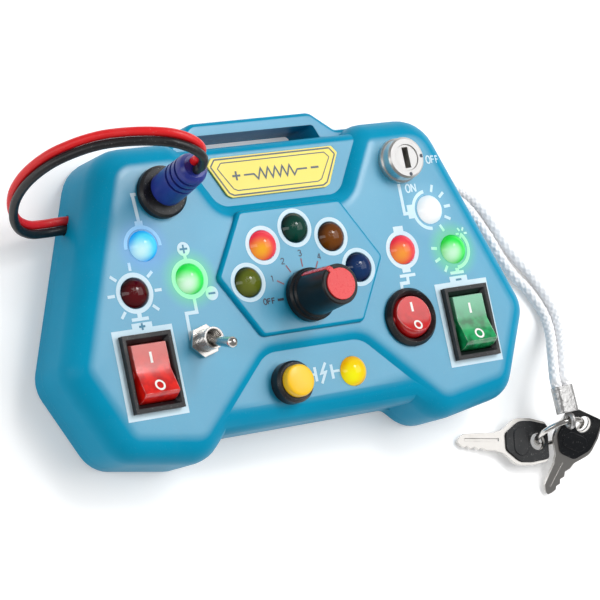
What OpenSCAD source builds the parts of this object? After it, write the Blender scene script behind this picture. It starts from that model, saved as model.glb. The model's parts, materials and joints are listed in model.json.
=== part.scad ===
// Busy board: a two-grip casing with a hexagonal dial pad, lamps, switches,
// a plug-in power lead and two keys on a lanyard. All sizes in millimetres.
// The board lies on its back with the panel up; +Y points to the carrying handle.

/* [Casing] */
// Width across the outer corners of the grips, before they are rounded
grip_span = 154.4; // [152:0.2:160]
// Length from the handle to the lower corners of the grips, before they are rounded
casing_l = 94.3; // [92:0.1:98]
// Height from the back to the panel face
case_h = 23.5; // [21:0.5:28]
// Height of the parting line above the back
parting_h = 6; // [5:0.5:6.5]
// Side wall thickness
wall = 2.2; // [1.8:0.1:2.6]
// Thickness of the back
floor_t = 2.2; // [2:0.1:2.6]
// Panel thickness
panel_t = 2.4; // [2:0.1:3]
// Radius of the front edge
edge_r = 8; // [5:0.5:8]
// Radius of the back edge
back_edge_r = 2.5; // [1:0.5:2.5]
// Rise of the hexagonal pad above the panel
pad_rise = 1.5; // [1:0.1:2]
// Radius of the pad's rim
pad_edge_r = 1.2; // [0.6:0.1:1.2]
// Depth of the lower shelf under the panel
shelf_drop = 1.3; // [0.8:0.1:1.6]
// Depth of the badge shelf under the panel
badge_drop = 2.6; // [2:0.1:3]
// Depth of the handle's top under the panel
handle_drop = 9; // [8:0.5:11]
// Thickness of the handle bar
handle_bar = 3.8; // [3:0.1:5]
// Finger gap between the bar and the casing
handle_gap = 4.6; // [4.4:0.1:6]
// Badge plate thickness
badge_t = 0.6; // [0.4:0.1:1]

/* [Lamps] */
// Lens diameter
lamp_d = 8.3; // [7.5:0.1:8.6]
// Lens height above its face
lamp_rise = 2.7; // [2:0.1:3.4]
// Rear flange diameter
lamp_flange_d = 9.2; // [8.8:0.1:9.4]
// Radius of the arc of dial lamps
dial_lamp_r = 19.3; // [19:0.1:19.6]

/* [Rocker switches] */
// Bezel width
rocker_bezel_w = 15; // [14.4:0.1:15.6]
// Bezel length
rocker_bezel_l = 21; // [20.4:0.1:22]
// Bezel height
rocker_bezel_h = 2; // [1.6:0.1:2.4]
// Rocker width
rocker_w = 10.5; // [10:0.1:10.8]
// Radius of the rocker's ends about the pivot
rocker_end_r = 8; // [7.6:0.1:8.2]
// Throw to each side of the middle
rocker_throw = 12; // [8:1:13]
// Depth of the switch body under the panel
rocker_body_h = 12; // [11:0.5:13]
// Round bezel diameter
round_bezel_d = 16.8; // [16.4:0.1:17.4]
// Round rocker radius about its pivot
round_rocker_r = 6.1; // [5.6:0.1:6.2]
// Pivot pin diameter of the rockers
rocker_pin_d = 2.4; // [2:0.1:2.6]

/* [Toggle] */
// Bushing diameter
toggle_bush_d = 6; // [5.8:0.1:6.4]
// Bushing height above the panel
toggle_bush_h = 6.4; // [5.8:0.1:7]
// Nut width across flats
toggle_nut_af = 8; // [7.8:0.1:9]
// Lever length from its pivot
toggle_lever_l = 13.8; // [12:0.1:15]
// Throw to each side of the middle
toggle_throw = 13; // [9:1:14]

/* [Rotary switch] */
// Knob skirt diameter
knob_d = 15; // [14.4:0.2:16]
// Knob height
knob_h = 16.5; // [15:0.5:18]
// Shaft diameter
shaft_d = 6; // [5.6:0.1:6]
// Angle of the pointer at rest
knob_rest = 120; // [30:30:180]

/* [Push button] */
// Bezel diameter
push_bezel_d = 11.8; // [11.6:0.1:12.4]
// Bezel height
push_bezel_h = 4; // [3.6:0.1:4.4]
// Cap diameter
push_cap_d = 9; // [8.6:0.1:9.2]
// Height of the cap above the bezel
push_cap_rise = 2.4; // [1.8:0.1:3]
// Travel of the cap
push_travel = 1.5; // [1:0.1:1.7]

/* [Key switch] */
// Bezel diameter at the panel
key_bezel_d = 13; // [12.6:0.1:13.6]
// Bezel height
key_bezel_h = 5; // [4.5:0.1:5.5]
// Cylinder diameter
key_cylinder_d = 7.6; // [7.2:0.1:7.8]

/* [Power jack and lead] */
// Jack flange diameter
jack_flange_d = 14.5; // [14:0.1:15]
// Jack flange height
jack_flange_h = 2.5; // [2.2:0.1:2.8]
// Lean of the socket towards the handle
plug_lean = 8; // [4:1:9]
// Plug grip diameter
plug_d = 9.6; // [9:0.1:9.8]
// Plug grip length
plug_l = 17.5; // [17.5:0.5:18.5]
// Plug barrel diameter
barrel_d = 5.5; // [5.4:0.05:5.6]
// Diameter of each strand of the lead
strand_d = 2.5; // [2.2:0.1:2.5]

/* [Lanyard and keys] */
// Lanyard cord diameter
lanyard_d = 3.3; // [2.8:0.1:3.3]
// Key ring radius at the wire's middle
ring_r = 7.5; // [7.3:0.1:7.5]
// Key ring wire diameter
ring_wire_d = 1.6; // [1.2:0.1:1.6]
// Key head length
key_head_d = 15.5; // [14.5:0.1:15.5]
// Key head thickness
key_head_t = 2.4; // [2:0.1:2.4]
// Blade length of the front key
key_front_blade_l = 10; // [9.5:0.5:11]
// Blade length of the rear key
key_rear_blade_l = 13.5; // [12:0.5:14]

/* [Clearances] */
// Gap round a fixed part in its hole
hole_gap = 0.1; // [0.05:0.01:0.15]
// Radial gap of a running fit
run_gap = 0.05; // [0.02:0.01:0.08]
// Gap between parts that move past each other
move_gap = 0.3; // [0.25:0.05:0.4]

/* [Hidden] */
$fn = 64;
corner_steps = 6;
fillet_steps = 7;

// Levels, measured from the panel face
back_z = -case_h;
floor_z = back_z + floor_t;
parting_z = back_z + parting_h;
ceiling_z = -panel_t;
shelf_z = -shelf_drop;
badge_z = -badge_drop;
handle_z = -handle_drop;
rib_z = -edge_r;
inner_inset = wall + 4;

badge_wall_y = 37;
bar_inner_y = badge_wall_y + handle_gap;
bar_outer_y = bar_inner_y + handle_bar;
// Outer corner of a grip, and the level of its lower corner
grip_x = grip_span / 2;
grip_y = bar_outer_y - casing_l;
shelf_wall_y = grip_y + 6.9;
shoulder_x = grip_x - 22.9;

// Right half of the front outline, from the lower notch to the badge notch: x, y, corner radius
front_half = [
    [14.3, -25.8, 4], [38.3, grip_y, 11], [grip_x - 12, grip_y + 4.3, 10], [grip_x, -19.8, 10],
    [shoulder_x, 39.8, 12], [29.1, 39.8, edge_r + 0.5], [18.6, 22, 3.5]
];
// Right half of the back outline with the handle
back_half = [
    [31.2, shelf_wall_y, 4], [38.3, grip_y, 11], [grip_x - 12, grip_y + 4.3, 10], [grip_x, -19.8, 10],
    [shoulder_x, 39.8, 12], [27.5, 39.8, 3], [20, bar_outer_y, 4]
];
// Right half of the inside, without the handle
inside_half = [
    [31.2, shelf_wall_y, 4], [38.3, grip_y, 11], [grip_x - 12, grip_y + 4.3, 10], [grip_x, -19.8, 10],
    [shoulder_x, 39.8, 12], [29.1, 39.8, 2.7], [27.4, badge_wall_y, 2.3]
];
handle_half = [[36, 34, 2], [36, 39.6, 2], [27.5, 39.6, 3], [20, bar_outer_y, 4]];
slot_half = [[22, badge_wall_y, 0.8], [20, bar_inner_y, 1.5]];
pad_half = [[16.8, -17.7, 2], [27.5, 0, 2], [16.8, 17.7, 2]];
badge_half = [[15.5, 22, 0.5], [17, 22.8, 0.5], [21.6, 31.5, 0.5], [20, 33.6, 0.5]];

boss_half = [[grip_x - 10.7, -20], [grip_x - 30.2, grip_y + 8.9], [shoulder_x - 2.3, 31]];
boss_spots = [for (spot = boss_half) for (side = [-1, 1]) [side * spot[0], spot[1]]];
boss_d = 6;
screw_d = 2.4;
screw_head_d = 4.6;

// Control positions on the panel
knob_at = [0, -8.3];
rocker_at = [grip_x - 24.2, -22.5];
round_at = [33, -18.5];
toggle_at = [-35.3, -16.4];
push_at = [-10.2, -31.3];
key_at = [40.2, 26.6];
jack_at = [-39, 25.3];
lamp_shelf_ceiling = -3.5;

// Lamps: name, x, y, face level, underside level, colour
function dial_lamp(name, angle, shade) = [
    name, knob_at[0] + dial_lamp_r * cos(angle), knob_at[1] + dial_lamp_r * sin(angle),
    pad_rise, ceiling_z, shade
];
LAMPS = [
    dial_lamp("lamp_dial_yellow", 162, "olive"),
    dial_lamp("lamp_dial_red", 126, "red"),
    dial_lamp("lamp_dial_green", 90, "darkgreen"),
    dial_lamp("lamp_dial_amber", 54, "sienna"),
    dial_lamp("lamp_dial_blue", 18, "navy"),
    ["lamp_left_blue", -47.6, 11.5, 0, ceiling_z, "blue"],
    ["lamp_left_red", -52.9, -0.8, 0, ceiling_z, "maroon"],
    ["lamp_left_green", -35.4, 1, 0, ceiling_z, "lime"],
    ["lamp_right_white", 47.6, 11.5, 0, ceiling_z, "white"],
    ["lamp_right_green", 52.9, -0.8, 0, ceiling_z, "lime"],
    ["lamp_right_red", 35.4, 1, 0, ceiling_z, "red"],
    ["lamp_lower_yellow", 11.2, -30.8, shelf_z, lamp_shelf_ceiling, "gold"]
];

ROCKERS = [["left_rocker", -1, "red"], ["right_rocker", 1, "limegreen"]];

// Outline functions

function unit(v) = v / norm(v);
function mirrored(half) =
    concat(half, [for (i = [len(half) - 1:-1:0]) [-half[i][0], half[i][1], half[i][2]]]);
function flat(corner) = [corner[0], corner[1]];

// One rounded corner of an outline that runs anticlockwise, moved inwards by inset
function rounded_corner(before, here, after, radius, inset) =
    let (
        d1 = unit(here - before),
        d2 = unit(after - here),
        side = d1[0] * d2[1] - d1[1] * d2[0] >= 0 ? 1 : -1,
        turn = acos(max(-1, min(1, d1 * d2))),
        outward = [d1[1], -d1[0]],
        centre = here - d1 * radius * tan(turn / 2) - outward * side * radius,
        start = atan2(outward[1], outward[0])
    )
    [for (i = [0:corner_steps])
        let (a = start + side * turn * i / corner_steps)
        centre + side * (radius - side * inset) * [cos(a), sin(a)]];

function outline(corners, inset = 0) =
    let (n = len(corners))
    [for (i = [0:n - 1]) each rounded_corner(
        flat(corners[(i + n - 1) % n]), flat(corners[i]), flat(corners[(i + 1) % n]), corners[i][2], inset)];

// Steps of inset and level for a rounded upper or lower edge
function edge_up(r, top) = [for (i = [0:fillet_steps])
    let (a = 90 * i / fillet_steps) [r * (1 - cos(a)), top - r * (1 - sin(a))]];
function edge_down(r, bottom) = [for (i = [fillet_steps:-1:0])
    let (a = 90 * i / fillet_steps) [r * (1 - cos(a)), bottom + r * (1 - sin(a))]];

// The same steps with the last one drawn on past the flat face, which a plane then cuts
past = 0.25;
function drawn_on(steps) = let (n = len(steps)) [for (i = [0:n - 1])
    i < n - 1 ? steps[i] : steps[i] + past * (steps[i] - steps[i - 1])];
function reversed(steps) = [for (i = [len(steps) - 1:-1:0]) steps[i]];

// A solid whose outline shrinks by each step's inset at that step's level
module loft(corners, steps) {
    rings = [for (s = steps) outline(corners, s[0])];
    n = len(rings[0]);
    m = len(steps);
    points = [for (k = [0:m - 1]) for (p = rings[k]) [p[0], p[1], steps[k][1]]];
    sides = [for (k = [0:m - 2]) for (i = [0:n - 1])
        [k * n + i, (k + 1) * n + i, (k + 1) * n + (i + 1) % n, k * n + (i + 1) % n]];
    bottom = [for (i = [0:n - 1]) i];
    top = [for (i = [n - 1:-1:0]) (m - 1) * n + i];
    polyhedron(points, concat([bottom, top], sides), convexity = 8);
}

module above(level) {
    translate([-grip_span, -grip_span, level]) cube([2 * grip_span, 2 * grip_span, case_h]);
}

module below(level) {
    translate([-grip_span, -grip_span, level - case_h]) cube([2 * grip_span, 2 * grip_span, case_h]);
}

// A solid with a flat top and a rounded upper edge, and one with a flat bottom and a rounded lower edge
module flat_topped(corners, low, r, top) {
    difference() {
        loft(corners, concat([[0, low]], drawn_on(edge_up(r, top))));
        above(top);
    }
}

module flat_bottomed(corners, bottom, r, high) {
    difference() {
        loft(corners, concat(reversed(drawn_on(reversed(edge_down(r, bottom)))), [[0, high]]));
        below(bottom);
    }
}

module slab(corners, inset, low, high) {
    translate([0, 0, low]) linear_extrude(high - low) polygon(outline(corners, inset));
}

// Placing helpers

lowest_y = min([for (p = outline(mirrored(front_half))) p[1]]);
y_shift = -(bar_outer_y + lowest_y) / 2;

module in_frame() {
    translate([0, y_shift, case_h]) children();
}

module at(spot, z = 0) {
    translate([spot[0], spot[1], z]) children();
}

module rod(r, low, high) {
    translate([0, 0, low]) cylinder(r = r, h = high - low);
}

module block(w, l, low, high) {
    translate([-w / 2, -l / 2, low]) cube([w, l, high - low]);
}

module rod_along_x(r, half) {
    rotate([0, 90, 0]) rod(r, -half, half);
}

module hex_nut(af, bore_r, low, high) {
    difference() {
        translate([0, 0, low]) linear_extrude(high - low)
            polygon([for (i = [0:5]) af / sqrt(3) * [cos(60 * i), sin(60 * i)]]);
        rod(bore_r, low - 1, high + 1);
    }
}

// A profile drawn in the Y-Z plane and run along X, centred
module along_x(width) {
    translate([-width / 2, 0, 0]) rotate([90, 0, 90]) linear_extrude(width) children();
}

module aim(direction) {
    rotate([0, acos(direction[2] / norm(direction)), atan2(direction[1], direction[0])]) children();
}

// Casing

body_w = 13;
body_l = 19;
round_body_d = 15;
push_barrel_d = 9;
key_barrel_d = 10;
jack_barrel_d = 11;
rotary_bush_d = 7;
lead_z = -15.5;
lead_y = 22;
lanyard_z = -14.5;
lanyard_ys = [20.5, 15.8];
exit_gap = 0.2;

module rocker_spots() {
    for (side = [-1, 1]) at([side * rocker_at[0], rocker_at[1]]) children();
}

// The solids of the front run on below the parting line and are cut there in one plane

shelf_block_w = 72;
badge_block_w = 66;

module shelf_block() {
    r = 6;
    low = parting_z - 2;
    along_x(shelf_block_w) union() {
        translate([shelf_wall_y + r, low]) square([20, shelf_z - low]);
        translate([shelf_wall_y, low]) square([10, shelf_z - r - low]);
        translate([shelf_wall_y + r, shelf_z - r]) circle(r);
    }
}

module badge_block() {
    r = 3;
    low = parting_z - 3;
    along_x(badge_block_w) union() {
        translate([16, low]) square([badge_wall_y - r - 16, badge_z - low]);
        translate([badge_wall_y - 10, low]) square([10, badge_z - r - low]);
        translate([badge_wall_y - r, badge_z - r]) circle(r);
    }
}

module handle_front() {
    low = parting_z - 4;
    difference() {
        flat_topped(mirrored(handle_half), low, 1.5, handle_z);
        slab([[22, 30, 0.5], [22, badge_wall_y, 0.5], [20, bar_inner_y, 1.5], [-20, bar_inner_y, 1.5],
            [-22, badge_wall_y, 0.5], [-22, 30, 0.5]], 0, low - 1, 0);
    }
}

module case_space() {
    difference() {
        union() {
            slab(mirrored(inside_half), wall, parting_z - 1.5, rib_z);
            slab(mirrored(front_half), inner_inset, rib_z - 1, ceiling_z);
            translate([-20, -37, rib_z - 1]) cube([40, 11.2, lamp_shelf_ceiling - rib_z + 1]);
            translate([-18, 23, rib_z - 1]) cube([36, 9, badge_z - 2.2 - rib_z + 1]);
        }
        for (spot = boss_spots) at(spot) rod(boss_d / 2, parting_z - 2, 0);
    }
}

module panel_holes() {
    for (lamp = LAMPS) at([lamp[1], lamp[2]]) rod(lamp_d / 2 + hole_gap, -6, 4);
    rocker_spots() block(body_w + 2 * hole_gap, body_l + 2 * hole_gap, -6, 4);
    at(round_at) rod(round_body_d / 2 + hole_gap, -6, 4);
    at(toggle_at) rod(toggle_bush_d / 2 + hole_gap, -6, 4);
    at(knob_at) rod(rotary_bush_d / 2 + hole_gap, -6, 4);
    at(push_at) rod(push_barrel_d / 2 + hole_gap, -6, 4);
    at(key_at) rod(key_barrel_d / 2 + hole_gap, -6, 4);
    at(jack_at) rod(jack_barrel_d / 2 + hole_gap, -6, 4);
}

module cord_exits() {
    for (side = [-1, 1]) translate([-58, lead_y + side * strand_d / 2, lead_z])
        rod_along_x(strand_d / 2 + exit_gap, 8);
    for (y = lanyard_ys) translate([62, y, lanyard_z]) rod_along_x(lanyard_d / 2 + exit_gap, 9);
}

module front_solid() {
    difference() {
        union() {
            flat_topped(mirrored(front_half), parting_z - 1, edge_r, 0);
            shelf_block();
            badge_block();
            handle_front();
            flat_topped(mirrored(pad_half), -2, pad_edge_r, pad_rise);
        }
        below(parting_z);
    }
}

module front_shell() {
    color("steelblue") difference() {
        front_solid();
        case_space();
        panel_holes();
        cord_exits();
        for (spot = boss_spots) at(spot) rod(screw_d / 2 + run_gap, parting_z - 1, parting_z + 8);
    }
}

door_w = 49.6;
door_low_y = 5.6;
door_high_y = 34.4;
door_t = 1.2;
bay_w = 46;
bay_low_y = 13;
bay_high_y = 33.8;
door_screw_at = [0, 9];
door_gap = 0.2;

module door_area(grow, low, high) {
    translate([-door_w / 2 - grow, door_low_y - grow, low])
        cube([door_w + 2 * grow, door_high_y - door_low_y + 2 * grow, high - low]);
}

module back_shell() {
    color("steelblue") difference() {
        union() {
            difference() {
                flat_bottomed(mirrored(back_half), back_z, back_edge_r, parting_z + 1);
                above(parting_z);
                slab(mirrored(inside_half), wall, floor_z, parting_z + 2);
            }
            for (spot = boss_spots) at(spot) rod(boss_d / 2 + 0.5, floor_z - 0.5, parting_z);
            at(door_screw_at) rod(2.5, floor_z - 0.5, -15);
        }
        slab(mirrored(slot_half), 0, back_z - 1, parting_z + 1);
        door_area(door_gap, back_z - 1, back_z + door_t);
        translate([-bay_w / 2, bay_low_y, back_z - 1])
            cube([bay_w, bay_high_y - bay_low_y, floor_t + 2]);
        at(door_screw_at) rod(1.05, back_z - 1, -16);
        for (spot = boss_spots) at(spot) {
            rod(screw_d / 2 + hole_gap, back_z - 1, parting_z + 1);
            rod(screw_head_d / 2 + door_gap, back_z - 1, back_z + 2);
        }
    }
}

module battery_door() {
    color("steelblue") difference() {
        door_area(0, back_z, back_z + door_t);
        at(door_screw_at) rod(1.2, back_z - 1, back_z + 3);
        at(door_screw_at) translate([0, 0, back_z - 0.01]) cylinder(r1 = 2.1, r2 = 1.2, h = 0.9);
    }
}

module battery_door_screw() {
    color("silver") at(door_screw_at) difference() {
        union() {
            translate([0, 0, back_z + 0.05]) cylinder(r1 = 1.98, r2 = 1, h = 0.85);
            rod(1, back_z + 0.6, -16.5);
        }
        block(0.5, 2.6, back_z, back_z + 0.4);
        block(2.6, 0.5, back_z, back_z + 0.4);
    }
}

module case_screws() {
    color("silver") for (spot = boss_spots) at(spot) difference() {
        union() {
            rod(screw_head_d / 2, back_z + 0.5, back_z + 2);
            rod(screw_d / 2, back_z + 2, parting_z + 7);
        }
        block(0.7, 3, back_z, back_z + 1.2);
        block(3, 0.7, back_z, back_z + 1.2);
    }
}

module badge_plate() {
    color("gold") slab(mirrored(badge_half), 0, badge_z, badge_z + badge_t);
}

cell_d = 10.5;
cell_l = 44.5;
cell_ys = [17.8, 28.6];
cell_z = floor_z + 0.3 + cell_d / 2;

module battery_cells() {
    color("dimgray") for (i = [0, 1]) translate([0, cell_ys[i], cell_z]) rotate([0, 90, i * 180]) {
        rod(cell_d / 2, -cell_l / 2, cell_l / 2 - 1);
        rod(1.9, cell_l / 2 - 1, cell_l / 2);
    }
}

module battery_contacts() {
    color("silver") for (side = [-1, 1]) for (y = cell_ys)
        translate([side * (cell_l / 2 + 0.25), y, 0]) block(0.5, 8, floor_z, cell_z + 4);
}

module switch_terminals() {
    color("goldenrod") {
        rocker_spots() for (y = [-5.5, 5.5]) translate([0, y, 0])
            block(4.8, 0.8, -rocker_body_h - 5, -rocker_body_h);
        at(round_at) for (y = [-4, 4]) translate([0, y, 0]) block(4.8, 0.8, -16, -11);
        at(toggle_at) for (y = [-4.5, 0, 4.5]) translate([0, y, 0]) block(2, 0.8, -15, -11.4);
    }
}

// Lamps

module lamp(spec) {
    r = lamp_d / 2;
    start = spec[3] + 0.4;
    rise = lamp_rise - 0.4;
    dome_r = (r * r + rise * rise) / (2 * rise);
    color(spec[5]) at([spec[1], spec[2]]) {
        rod(lamp_flange_d / 2, spec[4] - 1, spec[4]);
        rod(r, spec[4], start);
        intersection() {
            translate([0, 0, start + rise - dome_r]) sphere(dome_r);
            rod(r, start, start + rise + 1);
        }
    }
}

// Rocker switches

rocker_pivot_z = rocker_bezel_h - 2.5;
rocker_floor = 6;
opening_w = rocker_w + 2 * move_gap;
opening_l = 2 * (rocker_end_r + move_gap);

module rocker_housing() {
    color("black") difference() {
        union() {
            block(rocker_bezel_w, rocker_bezel_l, 0, rocker_bezel_h);
            block(body_w, body_l, -rocker_body_h, 0);
        }
        block(opening_w, opening_l, rocker_pivot_z - rocker_floor, rocker_bezel_h + 1);
        hull() {
            block(opening_w, opening_l, 0.6, 0.7);
            block(opening_w + 2, opening_l + 2, rocker_bezel_h, rocker_bezel_h + 0.1);
        }
        translate([0, 0, rocker_pivot_z]) rod_along_x(rocker_pin_d / 2 + run_gap, opening_w / 2 + 0.7);
    }
}

// Side view of a rocker about its pivot: shallow V on top, flat below
module rocker_profile(end_r, middle_z, bottom_z) {
    corner = end_r * [cos(30), sin(30)];
    slope = (corner[1] - middle_z) / corner[0];
    far = end_r + 1;
    polygon([[-far, bottom_z], [far, bottom_z], [far, middle_z + slope * far], [0, middle_z],
        [-far, middle_z + slope * far]]);
}

module rocker(shade) {
    color(shade) translate([0, 0, rocker_pivot_z]) rotate([-rocker_throw, 0, 0]) {
        along_x(rocker_w) intersection() {
            circle(rocker_end_r);
            rocker_profile(rocker_end_r, 2.6, -3.2);
        }
        rod_along_x(rocker_pin_d / 2, opening_w / 2 + 0.5);
    }
}

round_bezel_h = 2.2;
round_opening_r = round_rocker_r + move_gap;

module round_rocker_housing() {
    color("black") at(round_at) difference() {
        rotate_extrude() polygon([
            [0, -11], [round_body_d / 2, -11], [round_body_d / 2, 0], [round_bezel_d / 2, 0],
            [round_bezel_d / 2, 1], [round_bezel_d / 2 - 0.9, round_bezel_h],
            [round_opening_r + 1, round_bezel_h],
            [round_opening_r, 1.2], [round_opening_r, -5.5], [0, -5.5]
        ]);
        rod_along_x(rocker_pin_d / 2 + run_gap, round_opening_r + 0.8);
    }
}

module round_rocker() {
    color("red") at(round_at) rotate([-rocker_throw, 0, 0]) {
        intersection() {
            sphere(round_rocker_r);
            along_x(20) rocker_profile(round_rocker_r, 2.3, -3);
        }
        rod_along_x(rocker_pin_d / 2, round_opening_r + 0.6);
    }
}

// Toggle switch

toggle_nut_h = 1.6;
toggle_pivot_z = toggle_bush_h - 3.5;
toggle_pin_r = 0.6;
toggle_ball_r = 1.75;

toggle_body_w = 8;
toggle_body_l = 13;
toggle_body_h = 11.4;

module toggle_body() {
    color("silver") at(toggle_at) difference() {
        union() {
            block(toggle_body_w, toggle_body_l, -toggle_body_h, ceiling_z);
            rod(toggle_bush_d / 2, ceiling_z - 1, toggle_bush_h);
        }
        translate([0, 0, toggle_pivot_z]) {
            rotate_extrude() polygon([[0, -5], [toggle_ball_r + 0.35, -5], [toggle_ball_r + 0.35, 0],
                [2.45, 3.5], [2.48, 3.8], [0, 3.8]]);
            rod_along_x(toggle_pin_r + run_gap, toggle_bush_d / 2 - 0.2);
        }
    }
}

module toggle_nut() {
    color("silver") at(toggle_at) rotate([0, 0, 15])
        hex_nut(toggle_nut_af, toggle_bush_d / 2 + run_gap, 0, toggle_nut_h);
}

module toggle_lever() {
    tip_r = 1.55;
    color("silver") at(toggle_at, toggle_pivot_z) rotate([toggle_throw, 0, 0]) {
        sphere(toggle_ball_r);
        rod(1, -3, 0);
        cylinder(r1 = 1.1, r2 = tip_r, h = toggle_lever_l - tip_r);
        translate([0, 0, toggle_lever_l - tip_r]) sphere(tip_r);
        rod_along_x(toggle_pin_r, toggle_bush_d / 2 - 0.4);
    }
}

// Rotary switch and knob

rotary_body_d = 16.5;
rotary_depth = 8;
knob_low = pad_rise + 0.4;
rotary_nut_h = 2;
shaft_collar_r = 4.2;

module rotary_body() {
    low = ceiling_z - rotary_depth;
    color("dimgray") at(knob_at) difference() {
        union() {
            rod(rotary_body_d / 2, low, ceiling_z);
            rod(rotary_bush_d / 2, ceiling_z, pad_rise + rotary_nut_h + 0.5);
        }
        rod(shaft_d / 2 + run_gap, low + 1, pad_rise + 6);
        rod(shaft_collar_r + move_gap, low + 1, low + 4);
    }
}

module rotary_nut() {
    color("silver") at(knob_at)
        hex_nut(10, rotary_bush_d / 2 + run_gap, pad_rise, pad_rise + rotary_nut_h);
}

module rotary_shaft() {
    low = ceiling_z - rotary_depth;
    color("silver") at(knob_at) {
        rod(shaft_d / 2, low + 1.4, knob_low + 12);
        rod(shaft_collar_r, low + 1.4, low + 3.6);
    }
}

knob_top_r = 5.4;
cap_r = 4.4;
cap_recess = 0.8;
pointer_w = 1.5;

// Red pointer: a disc on top and a strip down the side, drawn pointing along +X
module pointer_shape(grow) {
    rod(cap_r + grow, knob_h - cap_recess, knob_h + 0.5);
    translate([0, -pointer_w / 2 - grow, 4 - grow])
        cube([knob_d / 2, pointer_w + 2 * grow, knob_h + 0.5 - 4 + grow]);
}

module knob_outline(cut) {
    rotate_extrude() polygon([
        [0, 0], [knob_d / 2 - cut, 0], [knob_d / 2 - cut, 2], [knob_d / 2 - 0.6 - cut, 2.6],
        [knob_d / 2 - 0.6 - cut, 3.4], [knob_d / 2 - 1.1 - cut, 4], [knob_top_r + 0.3 - cut, knob_h - 0.4],
        [knob_top_r - cut, knob_h], [0, knob_h]
    ]);
}

module knob_place() {
    at(knob_at, knob_low) rotate([0, 0, knob_rest]) children();
}

module knob() {
    color("black") knob_place() difference() {
        knob_outline(0);
        rod(6.1, -1, 3.2);
        rod(shaft_d / 2 + run_gap, 0, 12.2);
        rod(cap_r + run_gap, knob_h - cap_recess, knob_h + 1);
        difference() {
            translate([4.2, -pointer_w / 2 - run_gap, 4]) cube([4, pointer_w + 2 * run_gap, knob_h]);
            knob_outline(0.8);
        }
        translate([0, -pointer_w / 2 - run_gap, knob_h - cap_recess]) cube([8, pointer_w + 2 * run_gap, 3]);
    }
}

module knob_cap() {
    color("red") knob_place() {
        rod(cap_r, knob_h - cap_recess, knob_h + 0.5);
        translate([0, -pointer_w / 2, knob_h - cap_recess])
            cube([knob_top_r - 0.2, pointer_w, cap_recess + 0.5]);
        intersection() {
            translate([4, -pointer_w / 2, 4.1]) cube([4, pointer_w, knob_h - 4.1]);
            difference() {
                knob_outline(-0.15);
                knob_outline(0.75);
            }
        }
    }
}

// Push button

push_top = shelf_z + push_bezel_h;
push_floor = push_top - 3.6;
push_cap_low = push_floor + push_travel + 0.4;
push_flange_z = push_floor - 2.4;
push_spring_l = 8.8;
spring_low = push_floor - push_spring_l;

module push_housing() {
    r = push_bezel_d / 2;
    color("black") at(push_at) difference() {
        union() {
            rotate_extrude() polygon([
                [0, shelf_z], [r, shelf_z], [r, push_top - 0.8], [r - 0.6, push_top], [0, push_top]
            ]);
            rod(push_barrel_d / 2, spring_low - 1.2, shelf_z);
        }
        rod(push_cap_d / 2 + run_gap, push_floor, push_top + 1);
        rod(2 + run_gap, push_floor - 3, push_floor + 1);
        rod(3.2, spring_low, push_floor - 2);
    }
}

module push_nut() {
    color("silver") at(push_at)
        hex_nut(10.4, push_barrel_d / 2 + run_gap, lamp_shelf_ceiling - 2, lamp_shelf_ceiling);
}

module push_cap() {
    r = push_cap_d / 2;
    top = push_top + push_cap_rise;
    color("gold") at(push_at) {
        rotate_extrude() polygon([
            [0, push_cap_low], [r, push_cap_low], [r, top - 0.7], [r - 0.25, top - 0.25], [r - 0.8, top],
            [0, top]
        ]);
        rod(2, push_flange_z - 0.4, push_cap_low + 0.4);
        rod(2.8, push_flange_z - 0.8, push_flange_z);
    }
}

module push_spring() {
    color("silver") at(push_at) difference() {
        rod(2.6, spring_low, push_flange_z - 0.8);
        rod(1.8, spring_low - 1, push_flange_z);
    }
}

// Key switch

module key_switch_housing() {
    r = key_bezel_d / 2;
    color("silver") at(key_at) difference() {
        rotate_extrude() polygon([
            [0, -10], [key_barrel_d / 2, -10], [key_barrel_d / 2, 0], [r, 0], [r, 1.2], [r - 0.45, 1.6],
            [r - 0.45, key_bezel_h - 0.6], [r - 1, key_bezel_h], [0, key_bezel_h]
        ]);
        rod(key_cylinder_d / 2 + run_gap, -8.4, key_bezel_h + 1);
    }
}

module key_switch_nut() {
    color("silver") at(key_at) hex_nut(12, key_barrel_d / 2 + run_gap, ceiling_z - 2.2, ceiling_z);
}

module key_cylinder() {
    color("silver") at(key_at) difference() {
        rod(key_cylinder_d / 2, -8, key_bezel_h - 0.3);
        block(2, 6, -4, key_bezel_h + 1);
    }
}

// Power jack and plug

socket_depth = 10.5;
plug_standoff = 1;

module jack_axis() {
    at(jack_at, jack_flange_h) rotate([-plug_lean, 0, 0]) children();
}

module dc_jack() {
    r = jack_flange_d / 2;
    color("black") difference() {
        at(jack_at) rotate_extrude() polygon([
            [0, -12], [jack_barrel_d / 2, -12], [jack_barrel_d / 2, 0], [r, 0], [r, jack_flange_h - 0.7],
            [r - 0.7, jack_flange_h], [0, jack_flange_h]
        ]);
        jack_axis() difference() {
            rod(barrel_d / 2 + run_gap, -socket_depth, 4);
            rod(1, -socket_depth - 1, -1);
        }
    }
}

jack_nut_af = 13.5;

module dc_jack_nut() {
    color("silver") at(jack_at) hex_nut(jack_nut_af, jack_barrel_d / 2 + run_gap, ceiling_z - 2.2, ceiling_z);
}

module dc_plug() {
    r = plug_d / 2;
    end = plug_standoff + plug_l;
    grooves = [for (i = [0:2]) end - 8.6 + 2.5 * i];
    color("royalblue") jack_axis() difference() {
        rotate_extrude() polygon([
            [0, plug_standoff], [r - 0.4, plug_standoff], [r, plug_standoff + 0.4], [r, plug_standoff + 7],
            [r - 0.3, end - 2.4], [r - 0.7, end - 1], [r - 1.5, end], [0, end]
        ]);
        for (g = grooves) rotate_extrude() translate([r - 0.8, g]) square([2, 0.9]);
    }
}

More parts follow.
